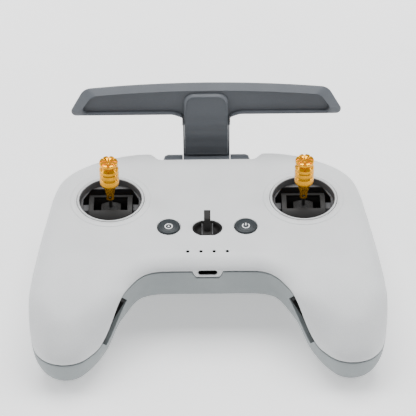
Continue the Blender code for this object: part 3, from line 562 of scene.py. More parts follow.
def gold():
    """Anodised aluminium with the fine rings that turning leaves."""
    look, tree, shader = new_look("gold_anodised_turned")
    rings = tree.nodes.new("ShaderNodeTexWave")
    rings.bands_direction = "Z"
    rings.inputs["Scale"].default_value = 1.0 / (0.9 * MM)
    rings.inputs["Distortion"].default_value = 0.6
    tree.links.new(object_space(tree), rings.inputs["Vector"])
    cloud = noise(tree, 3.0, 3.0)
    share = spread_value(tree, cloud, 0.0, 1.0)
    tone = mixed(tree, share, GOLD_DEEP, GOLD_BRIGHT)
    rubbed = spread_value(tree, edge_share(tree, 0.3), 0.0, 0.5, 0.0, 1.0)
    tree.links.new(mixed(tree, rubbed, tone, GOLD_WORN), shader.inputs["Base Color"])
    tree.links.new(spread_value(tree, cloud, 0.14, 0.24), shader.inputs["Roughness"])
    shader.inputs["Metallic"].default_value = 0.75
    shader.inputs["Specular IOR Level"].default_value = 0.3
    bump(tree, shader, (rings.outputs["Fac"], 0.004))
    return look


def metal(name, colour, roughness):
    """Plated steel with fine directional streaks."""
    look, tree, shader = new_look(name)
    streak = noise(tree, 0.5, 4.0, (0.06, 1.0, 1.0))
    cloud = noise(tree, 4.0)
    share = spread_value(tree, cloud, 0.0, 1.0)
    tone = mixed(tree, share, shifted(colour, 0.85), shifted(colour, 1.1))
    tree.links.new(tone, shader.inputs["Base Color"])
    rough = spread_value(tree, streak, roughness - 0.08, roughness + 0.1)
    tree.links.new(rough, shader.inputs["Roughness"])
    shader.inputs["Metallic"].default_value = 1.0
    bump(tree, shader, (streak, 0.004))
    return look


def circuit_board():
    """Solder mask over copper tracks."""
    look, tree, shader = new_look("solder_mask")
    tracks = tree.nodes.new("ShaderNodeTexBrick")
    tracks.inputs["Scale"].default_value = 1 / (6 * MM)
    tracks.inputs["Mortar Size"].default_value = 0.04
    tracks.inputs["Color1"].default_value = (0.012, 0.10, 0.045, 1)
    tracks.inputs["Color2"].default_value = (0.015, 0.12, 0.055, 1)
    tracks.inputs["Mortar"].default_value = (0.03, 0.2, 0.09, 1)
    tree.links.new(object_space(tree), tracks.inputs["Vector"])
    tree.links.new(tracks.outputs["Color"], shader.inputs["Base Color"])
    cloud = noise(tree, 2.0)
    tree.links.new(spread_value(tree, cloud, 0.3, 0.45), shader.inputs["Roughness"])
    bump(tree, shader, (tracks.outputs["Fac"], 0.03))
    return look


def floor_look():
    look, tree, shader = new_look("studio_paper_painted_glow")
    fine = noise(tree, 1.2)
    cloud = noise(tree, 60.0)
    share = spread_value(tree, cloud, 0.0, 1.0)
    tone = mixed(tree, share, (0.86, 0.86, 0.86), (0.89, 0.89, 0.89))
    tree.links.new(tone, shader.inputs["Base Color"])
    shader.inputs["Roughness"].default_value = 0.9
    # The floor glows with painted light. The glow is dimmer near the middle, which paints a soft shadow
    # round the controller.
    shader.inputs["Emission Color"].default_value = (1.0, 1.0, 1.0, 1.0)
    away = vector_math(tree, "LENGTH", object_space(tree))
    painted_glow = spread_value(tree, away.outputs["Value"], 0.5, 1.1, 0.12, 0.5)
    painted_glow.node.interpolation_type = "SMOOTHSTEP"
    tree.links.new(painted_glow, shader.inputs["Emission Strength"])
    shader.inputs["Specular IOR Level"].default_value = 0.1
    bump(tree, shader, (fine, 0.02))
    return look


PALE = plastic(
    "pale_grey_shell", (0.63, 0.64, 0.645), 0.46, wear=0.3, specular=0.4, steps=COLLAR_STEPS
)
RIM = plastic("bezel_pale_grey", (0.535, 0.545, 0.55), 0.5, wear=0.0)
# Dark grey kept lighter than the black gimbal parts: painted light on the gimbal case, the sleeves and the
# lanyard strip's ribs.
DARK_GREY_PAINTED_LIGHT = plastic("dark_grey_painted_light", (0.085, 0.085, 0.088), 0.5, grain=0.3, wear=0.8, specular=0.3)
# Rear shell: a real grey that is darker than the front, made darker still as painted shade on the walls
# below the seam.
REAR_GREY_PAINTED_SHADE = plastic("grey_rear_shell_painted_shade", (0.27, 0.295, 0.30), 0.5, wear=0.4, specular=0.35)
SLATE = plastic("slate_antenna", (0.090, 0.098, 0.110), 0.45, wear=0.8, specular=0.3)
BUTTON = plastic("slate_button", (0.026, 0.031, 0.034), 0.42, grain=0.2, wear=0.8, specular=0.25)
BLACK = plastic("black_gimbal", (0.018, 0.0175, 0.017), 0.5, grain=0.3, wear=0.9, specular=0.2)
SOFT_BLACK = plastic("black_lanyard", (0.010, 0.0095, 0.009), 0.55, grain=0.25, specular=0.2)
RUBBER = plastic("black_rubber", (0.014, 0.014, 0.014), 0.75, grain=0.15, depth=0.02, specular=0.2)
PRINT = plastic("white_print", (0.82, 0.83, 0.83), 0.5, grain=0.1, depth=0.004, wear=0.0)
RED = plastic("red_record_mark", (0.35, 0.02, 0.015), 0.4, grain=0.1, depth=0.004, wear=0.0)
LENS = plastic("dark_light_pipe", (0.002, 0.002, 0.002), 0.3, depth=0.002, wear=0.0, specular=0.05)
WRAP = plastic("battery_wrap", (0.04, 0.09, 0.22), 0.3, grain=0.8, depth=0.01, wear=0.2)
JACKET = plastic("cable_jacket", (0.02, 0.02, 0.02), 0.5, grain=0.3, wear=0.1)
GOLD = gold()
STEEL = metal("plated_steel", (0.55, 0.55, 0.57), 0.3)
# Near-black steel for the USB port's shell: painted shade that keeps the port's opening dark.
PORT_STEEL_PAINTED_SHADE = metal("port_steel_painted_shade", (0.012, 0.012, 0.012), 0.55)
BOARD = circuit_board()


# --- Shells --------------------------------------------------------------------------------------


def body_outline(per_stretch):
    half = spline(HALF_OUTLINE, per_stretch)
    return half + [(-x, y) for x, y in half[-2:0:-1]]


def notched(ring, share):
    """The ring with this share of the step in the far edge."""
    moved = []
    for x, y in ring:
        depth = NOTCH_DEPTH * blend(NOTCH_END, NOTCH_HALF, abs(x)) if y > 0 else 0.0
        moved.append((x, y - share * depth))
    return moved


def grip_share(y):
    t = min(max((GRIP_START_Y - y) / (GRIP_START_Y - GRIP_END_Y), 0.0), 1.0)
    return t**DROOP_POWER


def collar_rise(x, y):
    """Soft ring raised round each stick opening."""
    away = Vector((abs(x) - STICK_X, y)).length
    step = blend(COLLAR_FLAT_RADIUS + 1.5, COLLAR_FLAT_RADIUS, away)
    return COLLAR_RISE * (0.55 * step + 0.45 * blend(COLLAR_FOOT_RADIUS, COLLAR_FLAT_RADIUS, away))


def face_height(x, y):
    return FACE_Z - FACE_DROOP * grip_share(y) + collar_rise(x, y)


def plain_seam_height(y):
    return FACE_Z - along(SEAM_DROPS, y)


def seam_height(x, y):
    """The seam, with the dip round the USB port in the middle of the front wall."""
    if y > GRIP_START_Y:
        return plain_seam_height(y)
    share = min(max((TAB_HALF_TOP - abs(x)) / (TAB_HALF_TOP - TAB_HALF_BOTTOM), 0.0), 1.0)
    return plain_seam_height(y) - TAB_DEPTH * (1 - (1 - share) ** 2.2)


def rear_height(x, y):
    return FACE_Z - along(REAR_DROPS, y)


def edge_inset(y):
    return EDGE_INSET + (GRIP_EDGE_INSET - EDGE_INSET) * grip_share(y)


def seam_rings(outline, wall, side, lip):
    """The rounded edge of a shell half at the seam, ending on its wall."""
    rings = []
    for step in range(4 if lip else 1):
        turn = radians(30 * step)
        ring = notched(inset(outline, wall + lip * (1 - sin(turn))), 1.0)
        rise = SEAM_GAP / 2 + lip * (1 - cos(turn))
        rings.append([(x, y, seam_height(x, y) + side * rise) for x, y in ring])
    return rings


def dome_rings(outline, cap_height, wall, edge, steps, side, lip):
    """Rings of one surface of a shell half, from the seam inwards to where its cap begins."""
    rings = seam_rings(outline, wall, side, lip)
    base = rings[-1]
    for step in range(steps + 1):
        turn = radians(90 * step / steps)
        if side < 0 and step == 0:
            continue
        ring = inset(outline, lambda y: wall + (edge(y) - wall) * (1 - cos(turn)))
        heights = []
        for (x, y), foot in zip(notched(ring, cos(turn)), base):
            start = plain_seam_height(y) + side * (SEAM_LAND if side > 0 else 0.0)
            end = cap_height(x, y) - side * wall
            height = start + (end - start) * sin(turn)
            if side < 0:
                height = min(height, foot[2] - 0.02 * step)
            heights.append((x, y, height))
        rings.append(heights)
    return rings


def shell_half(side, cap_height, edge, spacing):
    """One half of the body as a closed wall: outer surface, inner surface and the seam between."""
    outline = body_outline(6)
    mesh = bmesh.new()
    seam_loops = []
    for wall, steps, lip, net in ((0.0, 14, SEAM_ROUND, spacing), (WALL, 3, 0.0, 7.0)):
        rings = dome_rings(outline, cap_height, wall, edge, steps, side, lip)
        top = lambda x, y: cap_height(x, y) - side * wall
        seam_loops.append(capped(rings, top, net, mesh))
    outer, inner = seam_loops
    for i in range(len(outer)):
        j = (i + 1) % len(outer)
        mesh.faces.new((outer[i], inner[i], inner[j], outer[j]))
    bmesh.ops.triangulate(mesh, faces=[f for f in mesh.faces if len(f.verts) > 4])
    return mesh


def far_wall(x):
    """(y, angle of the outward normal) of the body's far wall at this x."""
    outline = body_outline(4)
    for (x0, y0), (x1, y1) in zip(outline, outline[1:]):
        if y0 > 0 and min(x0, x1) <= x <= max(x0, x1):
            share = (x - x0) / (x1 - x0)
            return y0 + (y1 - y0) * share, atan2(x0 - x1, y1 - y0)
    raise ValueError(f"the far wall doesn't reach x = {x}")


def shoulder_place(x):
    """Frame on the far wall: local Z out of the wall, local X level along it."""
    y, normal = far_wall(x)
    out = Vector((cos(normal), sin(normal), 0))
    level = Vector((-out.y, out.x, 0))
    turn = Matrix((level, out.cross(level), out)).transposed().to_4x4()
    return at(x, y, FACE_Z - SHOULDER_DROP) @ turn


def slot_place(side):
    """Frame of a stick storage slot: X along the slot, Y into the grip, Z across the slot."""
    start = Vector((43.4 * side, -64.0, plain_seam_height(-64.0) - 4.4))
    end = Vector((54.4 * side, -81.5, plain_seam_height(-81.5) - 3.6))
    run = (end - start).normalized()
    into = Vector((-run.y * side, run.x * side, 0)).normalized()
    turn = Matrix((run, into, run.cross(into) * side)).transposed().to_4x4()
    return at(*start) @ turn, (end - start).length


def hinge_pocket():
    low, high = (Vector(corner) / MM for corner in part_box("antenna_hinge_base"))
    return box(
        (low.x - GAP, 31.5, FACE_Z - 18.3), (high.x + GAP, FAR_Y + 10, FACE_Z - SEAM_DROP)
    )


def usb_outline(half_x, half_z):
    corners = [(sx * half_x, sz * half_z) for sx, sz in QUARTERS]
    return rounded([(x, z, half_z * 0.98) for x, z in corners], 8)


def make_front_shell():
    shell = as_object("front_cover", shell_half(1, face_height, edge_inset, 1.3))
    holes = [hinge_pocket()]
    for side in (-1, 1):
        stick = circle(BEZEL_RADIUS + GAP, 96)
        holes.append(flared_hole(stick, 0.35, 9, 3, at(side * STICK_X, 0, FACE_Z + COLLAR_RISE)))
        button = circle(BUTTON_RADIUS + GAP, 64)
        holes.append(flared_hole(button, 0.45, 9, 3, at(side * BUTTON_X, BUTTON_Y, FACE_Z)))
    holes.append(flared_hole(lanyard_outline(0.15), 0.3, 9, 3, at(0, LANYARD_Y, FACE_Z)))
    for x in LIGHT_XS:
        dot = circle(LIGHT_RADIUS + 0.1, 24)
        holes.append(flared_hole(dot, 0.12, 9, 2, at(x, LIGHT_Y, FACE_Z - 0.07)))
    port = along_y(0, FRONT_Y, FACE_Z - USB_DROP) @ Matrix.Rotation(pi, 4, "X")
    holes.append(flared_hole(usb_outline(USB_HALF_X, USB_HALF_Z), 0.2, 5, 2, port))
    cut(shell, *holes)
    return finish_piece(shell, PALE, "housing", ["front_shell"], 48)


def make_rear_shell():
    shell = as_object("rear_cover", shell_half(-1, rear_height, lambda y: REAR_INSET, 2.4))
    holes = [hinge_pocket()]
    for side in (-1, 1):
        place, length = slot_place(side)
        holes.append(box((0, -8, -3.2), (length, 9.6, 8.5), place))
        plug = circle(PLUG_RADIUS, 40)
        down = Matrix.Rotation(pi, 4, "X")
        holes.append(flared_hole(plug, 0.4, 5, 3, at(side * STICK_X, PLUG_Y, 0) @ down))
        for x, y in SCREW_PLACES:
            well = circle(SCREW_WELL_RADIUS, 32)
            foot = at(side * x, y, rear_height(x, y)) @ down
            holes.append(flared_hole(well, 0.4, 10, 4, foot))
    for x, half_x, half_y in SHOULDER_SLOTS:
        corner = min(half_x, half_y) * 0.6
        slot = rounded([(sx * half_x, sy * half_y, corner) for sx, sy in QUARTERS], 6)
        holes.append(flared_hole(slot, 0.3, 5, 3, shoulder_place(x)))
    for x in SHOULDER_BUTTONS.values():
        ring = circle(SHOULDER_BUTTON_RADIUS + GAP, 40)
        holes.append(flared_hole(ring, 0.3, 5, 3, shoulder_place(x)))
    cut(shell, *holes)
    return finish_piece(shell, REAR_GREY_PAINTED_SHADE, "housing", ["rear_shell"], 48)


def make_seam_shade_strip():
    """Dark strip between the two shells, set back behind their rounded edges: painted shade that darkens
    the seam line.
    """
    outline = body_outline(6)
    loops = []
    for wall, rise in ((1.0, -0.12), (1.0, 0.12), (1.8, 0.12), (1.8, -0.12)):
        ring = notched(inset(outline, wall), 1.0)
        loops.append([(x, y, seam_height(x, y) + rise) for x, y in ring])
    strip = as_object("seam_shade_strip", loft(loops, closed_ring=True))
    cut(strip, hinge_pocket())
    # Black here is painted shade in the seam gap.
    finish_piece(strip, RUBBER, "housing")


# --- Sticks and gimbals --------------------------------------------------------------------------


def make_bezel(side, x):
    """Pale ring round the opening, and the sleeve that lines it in a dark grey kept lighter than the black
    gimbal parts: painted light on the sleeve.
    """
    sleeve = 0.45
    split = STICK_HOLE_RADIUS + sleeve
    pale = [(split, -2.6), (19.6, -2.6), (19.6, -2.3), (BEZEL_RADIUS, -2.3), (BEZEL_RADIUS, 0.35)]
    pale += arc((BEZEL_RADIUS - 0.4, 0.5), 0.4, 10, 80, 4)
    pale += arc((split + 0.3, 0.55), 0.3, 100, 175, 4)
    ring = as_object(f"{side}_opening_ring", turned(pale, 96, at(x, 0, FACE_Z)))
    finish_piece(ring, RIM, "housing", [f"{side}_stick_bezel"])
    dark = [(STICK_HOLE_RADIUS, -3.3), (19.6, -3.3), (19.6, -2.7), (split - 0.05, -2.7)]
    dark += [(split - 0.05, 0.5), (split - 0.2, 0.6), (STICK_HOLE_RADIUS, 0.35)]
    lining = as_object(f"{side}_opening_sleeve", turned(dark, 96, at(x, 0, FACE_Z)))
    finish_piece(lining, DARK_GREY_PAINTED_LIGHT, "housing")


STEM_FOOT = 1.2
GRUB_RISE = 3.5
STEM_PROFILE = (
    (1.9, STEM_FOOT), (2.1, STEM_FOOT + 0.25), (2.1, 4.7), (2.25, 5.2), (3.3, 9.8),
    (3.7, 10.5), (4.8, 11.9), (5.15, 12.5), (5.2, 13.0), (5.2, 16.2),
    (4.7, 17.0), (4.75, 17.25), (5.2, 17.4), (5.2, 20.1), (4.7, 20.9),
    (4.75, 21.15), (5.2, 21.3), (5.2, 22.8), (4.2, 24.4),
)


def make_stem(side, x):
    """Grip of the stick with two grooves, a cone and a bore for the grub screw."""
    profile = [(0, 10.2), (1.3, 10.2), (1.3, STEM_FOOT)]
    profile += [*STEM_PROFILE, (2.3, 24.4), (2.3, 20.6), (0, 20.6)]
    stem = as_object(f"{side}_stick_grip", turned(profile, 64, at(x, 0, FACE_Z)))
    soften(stem, 0.08, 2, 24)
    bore = circle(0.95, 24)
    dent = circle(0.6, 24)
    cut(
        stem,
        prism(bore, -4, 0, along_y(x, 0, FACE_Z + GRUB_RISE)),
        prism(dent, -6, -4.1, along_y(x, 0, FACE_Z + 23.6)),
    )
    finish_piece(stem, GOLD, f"{side}_stick", [f"{side}_stick_stem"], 30)


def make_crown(side, x):
    """Thumb rest with deep notches running out from its dished middle."""
    notches = 8
    per_notch = 12
    count = notches * per_notch
    # (radius, height, how deep a notch cuts down there, how far it cuts in there)
    profile = (
        (2.0, 21.0, 0.0, 0.0),
        (2.0, 24.7, 0.0, 0.0),
        (4.0, 24.75, 0.0, 0.0),
        (4.5, 25.0, 0.0, 0.0),
        (4.95, 25.7, 0.0, 0.05),
        (5.1, 26.5, 0.0, 0.1),
        (5.05, 27.1, 0.2, 0.12),
        (4.75, 27.6, 0.5, 0.1),
        (4.1, 27.85, 0.9, 0.1),
        (2.8, 27.8, 1.0, 0.0),
        (1.8, 27.5, 0.8, 0.0),
        (1.1, 27.0, 0.2, 0.0),
    )
    loops = []
    for radius, height, deep, in_by in profile:
        loop = []
        for i in range(count):
            angle = 2 * pi * (i + 0.5 * per_notch) / count
            wave = 0.5 + 0.5 * cos(notches * angle)
            share = blend(0.6, 0.97, wave)
            r = radius - in_by * share
            loop.append((r * cos(angle), r * sin(angle), height - deep * share))
        loops.append(loop)
    crown = as_object(f"{side}_thumb_rest", loft(loops, at(x, 0, FACE_Z)))
    finish_piece(crown, GOLD, f"{side}_stick", [f"{side}_stick_crown"], 34)


def make_sticks():
    for side, x in (("left", -STICK_X), ("right", STICK_X)):
        make_bezel(side, x)
        make_stem(side, x)
        make_crown(side, x)
        # The case takes the dark grey with painted light, lighter than the black drum.
        case = from_frame(f"{side}_gimbal_housing", f"{side}_gimbal_case", 0.25)
        finish_piece(case, DARK_GREY_PAINTED_LIGHT, "housing", [f"{side}_gimbal_housing"])
        drum = from_frame(f"{side}_gimbal_yoke", f"{side}_gimbal_drum", 0.18)
        finish_piece(drum, BLACK, f"{side}_yoke", [f"{side}_gimbal_yoke"])
        make_rocker(side, x)


def make_rocker(side, x):
    """Inner drum: the CAD piece with a domed top that has two faint rings round the stub."""
    place = at(x, 0, FACE_Z - PIVOT_DROP)
    dome = [(0, -6), (8, -6)]
    for step in range(36):
        radius = 8 - 0.195 * step
        ring = 0.18 if 2.3 < radius < 2.8 or 4.0 < radius < 4.5 else 0.0
        dome.append((radius, (ROCKER_RADIUS**2 - radius**2) ** 0.5 - ring))
    dome += [(1.0, ROCKER_RADIUS), (1.0, PIVOT_DROP + 9), (0, PIVOT_DROP + 9)]
    rocker = from_frame(f"{side}_gimbal_rocker", f"{side}_gimbal_rocker_dome", 0.2)
    combine(rocker, "INTERSECT", turned(dome, 48, place))
    finish_piece(rocker, BLACK, f"{side}_stick", [f"{side}_gimbal_rocker"])


# --- Face controls -------------------------------------------------------------------------------


def make_face_button(name, x, body, node):
    """Domed key with a chamfered rim and a shallow groove inside it."""
    r = BUTTON_RADIUS
    profile = [(0, -7.6), (2.0, -7.6), (2.0, -3.2), (r + 0.8, -3.2), (r + 0.8, -2.4), (r, -2.4)]
    profile += [(r, 0.05), (r - 0.15, 0.35), (r - 0.85, 0.72), (r - 1.05, 0.74), (r - 1.2, 0.60)]
    profile += [(r - 1.4, 0.60), (r - 1.55, 0.74), (r - 3.0, 0.84), (1.5, 0.9), (0, 0.9)]
    key = as_object(name, turned(profile, 72, at(x, BUTTON_Y, FACE_Z)))
    return finish_piece(key, BUTTON, body, [node], 42)


def stroke(points, half_width, low, high, place, closed=False):
    """Flat ribbon of even width along a line of points."""
    corners = ((-1, low), (1, low), (1, high), (-1, high))
    loops = []
    count = len(points)
    for i, point in enumerate(points):
        before = points[i - 1] if closed or i else point
        after = points[(i + 1) % count] if closed or i + 1 < count else point
        run = (Vector(after) - Vector(before)).normalized()
        out = Vector((-run.y, run.x)) * half_width
        loops.append([(point[0] + s * out.x, point[1] + s * out.y, z) for s, z in corners])
    return loft(loops, place, closed)


def make_marks():
    """Printed marks: a power sign, and a ring round a dot on the custom key."""
    low, high = 0.80, 0.93
    power = at(BUTTON_X, BUTTON_Y - 0.6, FACE_Z)
    custom = at(-BUTTON_X, BUTTON_Y - 0.6, FACE_Z)
    sweep = arc((0, -0.1), 1.8, 128, 412, 36)
    ring = circle(1.9, 40)
    marks = (
        ("power_mark_ring", stroke(sweep, 0.27, low, high, power), "power_key"),
        ("power_mark_bar", stroke([(0, 0.1), (0, 2.1)], 0.27, low, high, power), "power_key"),
        ("custom_mark_ring", stroke(ring, 0.25, low, high, custom, True), "custom_key"),
        ("custom_mark_dot", prism(circle(0.5, 24), low, high, custom), "custom_key"),
    )
    for name, mesh, body in marks:
        finish_piece(as_object(name, mesh), PRINT, body)


def lanyard_outline(grow):
    """Oval whose near and far sides are cut flat."""
    oval = ellipse(LANYARD_HALF_X + grow, LANYARD_HALF_Y + grow, 96)
    near, far = -0.89 * LANYARD_HALF_Y - grow, 0.94 * LANYARD_HALF_Y + grow
    return [(x, min(max(y, near), far)) for x, y in oval]


def make_lanyard():
    """Oval dish with a raised strip across it, and the hook that stands on the strip."""
    place = at(0, LANYARD_Y, FACE_Z)
    loops = [[(x, y, -8.6) for x, y in lanyard_outline(0)]]
    lip = ((0.0, -0.35), (0.12, -0.16), (0.35, -0.1), (0.6, -0.16), (0.9, -0.5))
    for inward, height in (*lip, (1.3, -1.7), (1.9, -2.6), (3.0, -3.0)):
        loops.append([(x, y, height) for x, y in lanyard_outline(-inward)])
    dish = as_object("lanyard_dish", loft(loops, place))
    finish_piece(dish, SOFT_BLACK, "housing", ["lanyard_cup"], 50)

    frame_yz = place @ Matrix(((0, 0, 1, 0), (1, 0, 0, 0), (0, 1, 0, 0), (0, 0, 0, 1)))
    side_view = [(-2.6, -3.5, 0), (0.9, -3.5, 0), (0.9, 4.2, 1.2), (5.4, 6.2, 0), (5.4, 8.8, 0.9)]
    side_view += [(-1.4, 6.8, 2.4), (-2.6, 0.0, 2)]
    hook = as_object("lanyard_loop", prism(rounded(side_view, 6), -1.75, 1.75, frame_yz))
    strip = [(-5.0, -3.5), (4.6, -3.5), (4.6, -1.0), (1.6, -0.25), (-1.6, -0.25), (-5.0, -0.45)]
    join(hook, prism(strip, -2.65, 2.65, frame_yz))
    soften(hook, 0.35, 3)
    finish_piece(hook, SOFT_BLACK, "housing", ["lanyard_hook"], 50)
    # Ribs along the strip's edges, in a lighter grey than the strip: painted highlights on its creases.
    rib = [(-5.2, -2.0), (4.6, -2.0), (4.6, -0.85), (1.6, -0.12), (-1.6, -0.12), (-5.2, -0.3)]
    for side, name in ((-1, "left"), (1, "right")):
        edges = sorted((side * 2.6, side * 3.0))
        edge = as_object(f"{name}_strip_highlight_rib", prism(rib, *edges, frame_yz))
        finish_piece(edge, DARK_GREY_PAINTED_LIGHT, "housing")


def make_lights():
    profile = [(0, -8.8), (1.1, -8.8), (1.1, -4.0), (LIGHT_RADIUS, -4.0), (LIGHT_RADIUS, -0.06)]
    profile += [(0.4, -0.02), (0, 0)]
    for number, x in enumerate(LIGHT_XS, 1):
        lamp = as_object(f"light_pipe_{number}", turned(profile, 24, at(x, LIGHT_Y, FACE_Z)))
        finish_piece(lamp, LENS, "housing", [f"status_light_{number}"])


def make_usb():
    # The port's shell is near-black, which paints shade inside the opening.
    place = along_y(0, FRONT_Y, FACE_Z - USB_DROP)
    port = as_object("usb_shell", prism(usb_outline(4.95, 1.4), 0.3, 7.3, place))
    cut(port, prism(usb_outline(4.7, 1.15), -1, 6.5, place))
    soften(port, 0.08, 2)
    finish_piece(port, PORT_STEEL_PAINTED_SHADE, "housing", ["usb_port"])


# --- Antenna -------------------------------------------------------------------------------------


def antenna_place():
    """Antenna frame: local X stays X, local Y runs up the arm (s), local Z faces the user (h)."""
    return at(0, HINGE_Y, FACE_Z - HINGE_DROP) @ Matrix.Rotation(radians(ARM_LEAN), 4, "X")


def wing_half(end_inset, top_inset, bottom_inset, foot):
    """Right half of the wing with its flat fillet into the stem, as (x, s, corner radius)."""
    bottom = WING_BOTTOM + bottom_inset
    stem = STEM_HALF + foot
    tip = WING_HALF - end_inset
    shoulder = tip - 9.4 + 0.25 * end_inset
    crest = [(x, WING_TOP - ARCH * x * x - top_inset, 0) for x in (48.0, 36.0, 24.0, 12.0, 0.0)]
    return [
        (stem, bottom - 6.6, 0),
        (stem, bottom - 1.9, 1.4),
        (stem + 5.2, bottom, 9.0),
        (tip, bottom, 2.6),
        (shoulder, WING_TOP - ARCH * shoulder**2 - top_inset, 7.0),
        *crest,
    ]


def wing_outline(end_inset=0.0, top_inset=0.0, bottom_inset=0.0, foot=0.0, tail=()):
    half = list(tail) + wing_half(end_inset, top_inset, bottom_inset, foot)
    other = [(-x, s, r) for x, s, r in half[-2::-1]]
    return rounded(half + other, 10)


def make_arm():
    """Rear half of the antenna: T-shaped plate with rounded back edges, and the hinge barrel."""
    place = antenna_place()
    loops = []
    # (ends inwards, top inwards, bottom inwards, stem sides inwards, height)
    for end, top, bottom, side, height in (
        (5.2, 5.2, 2.2, 1.4, WING_BACK),
        (4.2, 4.3, 1.5, 0.6, WING_BACK + 0.25),
        (3.4, 3.6, 1.0, 0.15, WING_BACK + 0.8),
        (2.6, 2.9, 0.7, 0.0, WING_BACK + 1.7),
        (0.5, 0.9, 0.2, 0.0, -0.25),
        (0.6, 1.0, 0.3, 0.1, 0.0),
    ):
        outline = wing_outline(end, top, bottom, -side, [(STEM_HALF - side, 1.5, 0)])
        loops.append([(x, s, height) for x, s in outline])
    arm = as_object("antenna_rear_half", loft(loops, place))
    end = 0.7
    barrel = [(0, -STEM_HALF), (BARREL_RADIUS - end, -STEM_HALF), (BARREL_RADIUS, end - STEM_HALF)]
    barrel += [(r, -h) for r, h in reversed(barrel)]
    join(arm, turned(barrel, 64, along_x(*place.translation)))
    bore = prism(circle(2.3, 32), -30, 30, along_x(*place.translation))
    ledge = rounded([(-66, 35.6, 3), (66, 35.6, 3), (60, 43.6, 3), (-60, 43.6, 3)], 6)
    recess = [[(x, s, h) for x, s in inset(ledge, i)] for i, h in ((0, -9), (0, -3.7), (0.4, -3.45))]
    cut(arm, bore, loft(recess, place))
    finish_piece(arm, SLATE, "antenna", ["antenna_arm"], 42)


def panel_height(s):
    """The panel leans back towards its lower edge, which leaves a ledge above the lower lip."""
    return PANEL_RISE - 0.1 - PANEL_SINK * (WING_TOP - s) / (WING_TOP - WING_BOTTOM)


def make_cover():
    """Wing front: a rounded lip, a band that slopes back, and a panel sunk above its lower lip."""
    place = antenna_place()
    # (ends inwards, top inwards, bottom inwards, height)
    levels = (
        (0.6, 1.0, 0.3, GAP),
        (0.3, 0.55, 0.15, 0.55),
        (0.0, 0.0, 0.0, WING_CREST),
        (0.05, 0.05, 0.0, WING_CREST + 0.5),
        (0.4, 0.35, 0.1, WING_CREST + 0.8),
        (5.5, 3.2, 1.3, PANEL_RISE - 0.2),
        (5.8, 3.4, 1.5, PANEL_RISE),
        (6.0, 3.5, 2.2, PANEL_RISE),
        (6.3, 3.65, 2.45, None),
    )
    loops = []
    for end, top, bottom, height in levels:
        outline = wing_outline(end, top, bottom, GAP)
        loops.append([(x, s, panel_height(s) if height is None else height) for x, s in outline])
    cover = as_object("wing_cover", loft(loops, place))
    throat = box((-STEM_HALF, 20, -1), (STEM_HALF, WING_BOTTOM, 9), place)
    pocket = rounded([(-60, 35, 1.5), (60, 35, 1.5), (56, 42, 1.5), (-56, 42, 1.5)])
    cut(cover, throat, prism(pocket, -1, PANEL_RISE - 3.9, place))
    finish_piece(cover, SLATE, "antenna", ["antenna_cover"], 42)


TONGUE_LINE = ((7.0, 1.5), (14.0, 2.0), (22.0, 3.9), (29.0, 6.0), (34.0, TONGUE_RISE), (60.0, TONGUE_RISE))


def tongue_height(x, s):
    """Front of the tongue: it swells from the hinge up to the wing, with a faint crown across."""
    return along(TONGUE_LINE, s) + 0.15 * (1 - (x / TONGUE_HALF) ** 2)


def make_tongue():
    """Raised strip up the stem, with rounded long edges and a fillet where it meets the panel."""
    place = antenna_place()
    outline = rounded(
        [(-TONGUE_HALF, 7.0, 0), (TONGUE_HALF, 7.0, 0), (TONGUE_HALF, TONGUE_TOP, 6.0)]
        + [(-TONGUE_HALF, TONGUE_TOP, 6.0)],
        10,
    )
    outline = even_steps(outline, 1.2)
    mesh = bmesh.new()
    rings = [[(x, s, GAP if s < WING_BOTTOM else panel_height(s) - 0.2) for x, s in outline]]
    for inward, drop in ((0.0, 2.0), (0.12, 1.7), (1.05, 0.15), (1.2, 0.05), (1.35, 0.3), (1.7, 0.3)):
        ring = inset(outline, lambda s: inward * (0.4 + 0.9 * blend(32, 44, s)))
        rings.append([(x, s, tongue_height(x, s) - drop) for x, s in ring])
    bottom = capped(rings, lambda x, s: tongue_height(x, s) - 0.3, 1.2, mesh)
    mesh.faces.new(bottom[::-1])
    mesh.transform(place)
    tongue = as_object("tongue_cover", mesh)
    finish_piece(tongue, SLATE, "antenna", ["antenna_tongue"], 50)


def even_steps(outline, spacing):
    """The outline with points added so that none are further apart than spacing."""
    points = []
    for i, (x, y) in enumerate(outline):
        start = Vector((x, y))
        end = Vector(outline[(i + 1) % len(outline)])
        pieces = max(1, int((end - start).length / spacing))
        points += [tuple(start.lerp(end, k / pieces)) for k in range(pieces)]
    return points


def make_hinge():
    base = from_frame("antenna_hinge_base", "hinge_knuckles", 0.5, 3)
    finish_piece(base, SLATE, "housing", ["antenna_hinge_base"])


# --- Shoulder, rear and inner pieces ------------------------------------------------------------


def make_shoulder_buttons():
    r = SHOULDER_BUTTON_RADIUS
    for node, x in SHOULDER_BUTTONS.items():
        profile = [(0, -6.4), (r + 0.8, -6.4), (r + 0.8, -5.6), (r, -5.6), (r, 0.7)]
        profile += arc((r - 0.9, 0.7), 0.9, 15, 80, 5) + [(2.6, 1.66), (1.2, 1.52), (0, 1.5)]
        name = node.replace("button", "key_cap")
        key = as_object(name, turned(profile, 48, shoulder_place(x)))
        finish_piece(key, BUTTON, node.replace("button", "key"), [node])
    place = shoulder_place(SHOULDER_BUTTONS["record_button"])
    ring = stroke(circle(2.0, 32), 0.3, 1.4, 1.72, place, True)
    finish_piece(as_object("record_mark", ring), RED, "record_key")


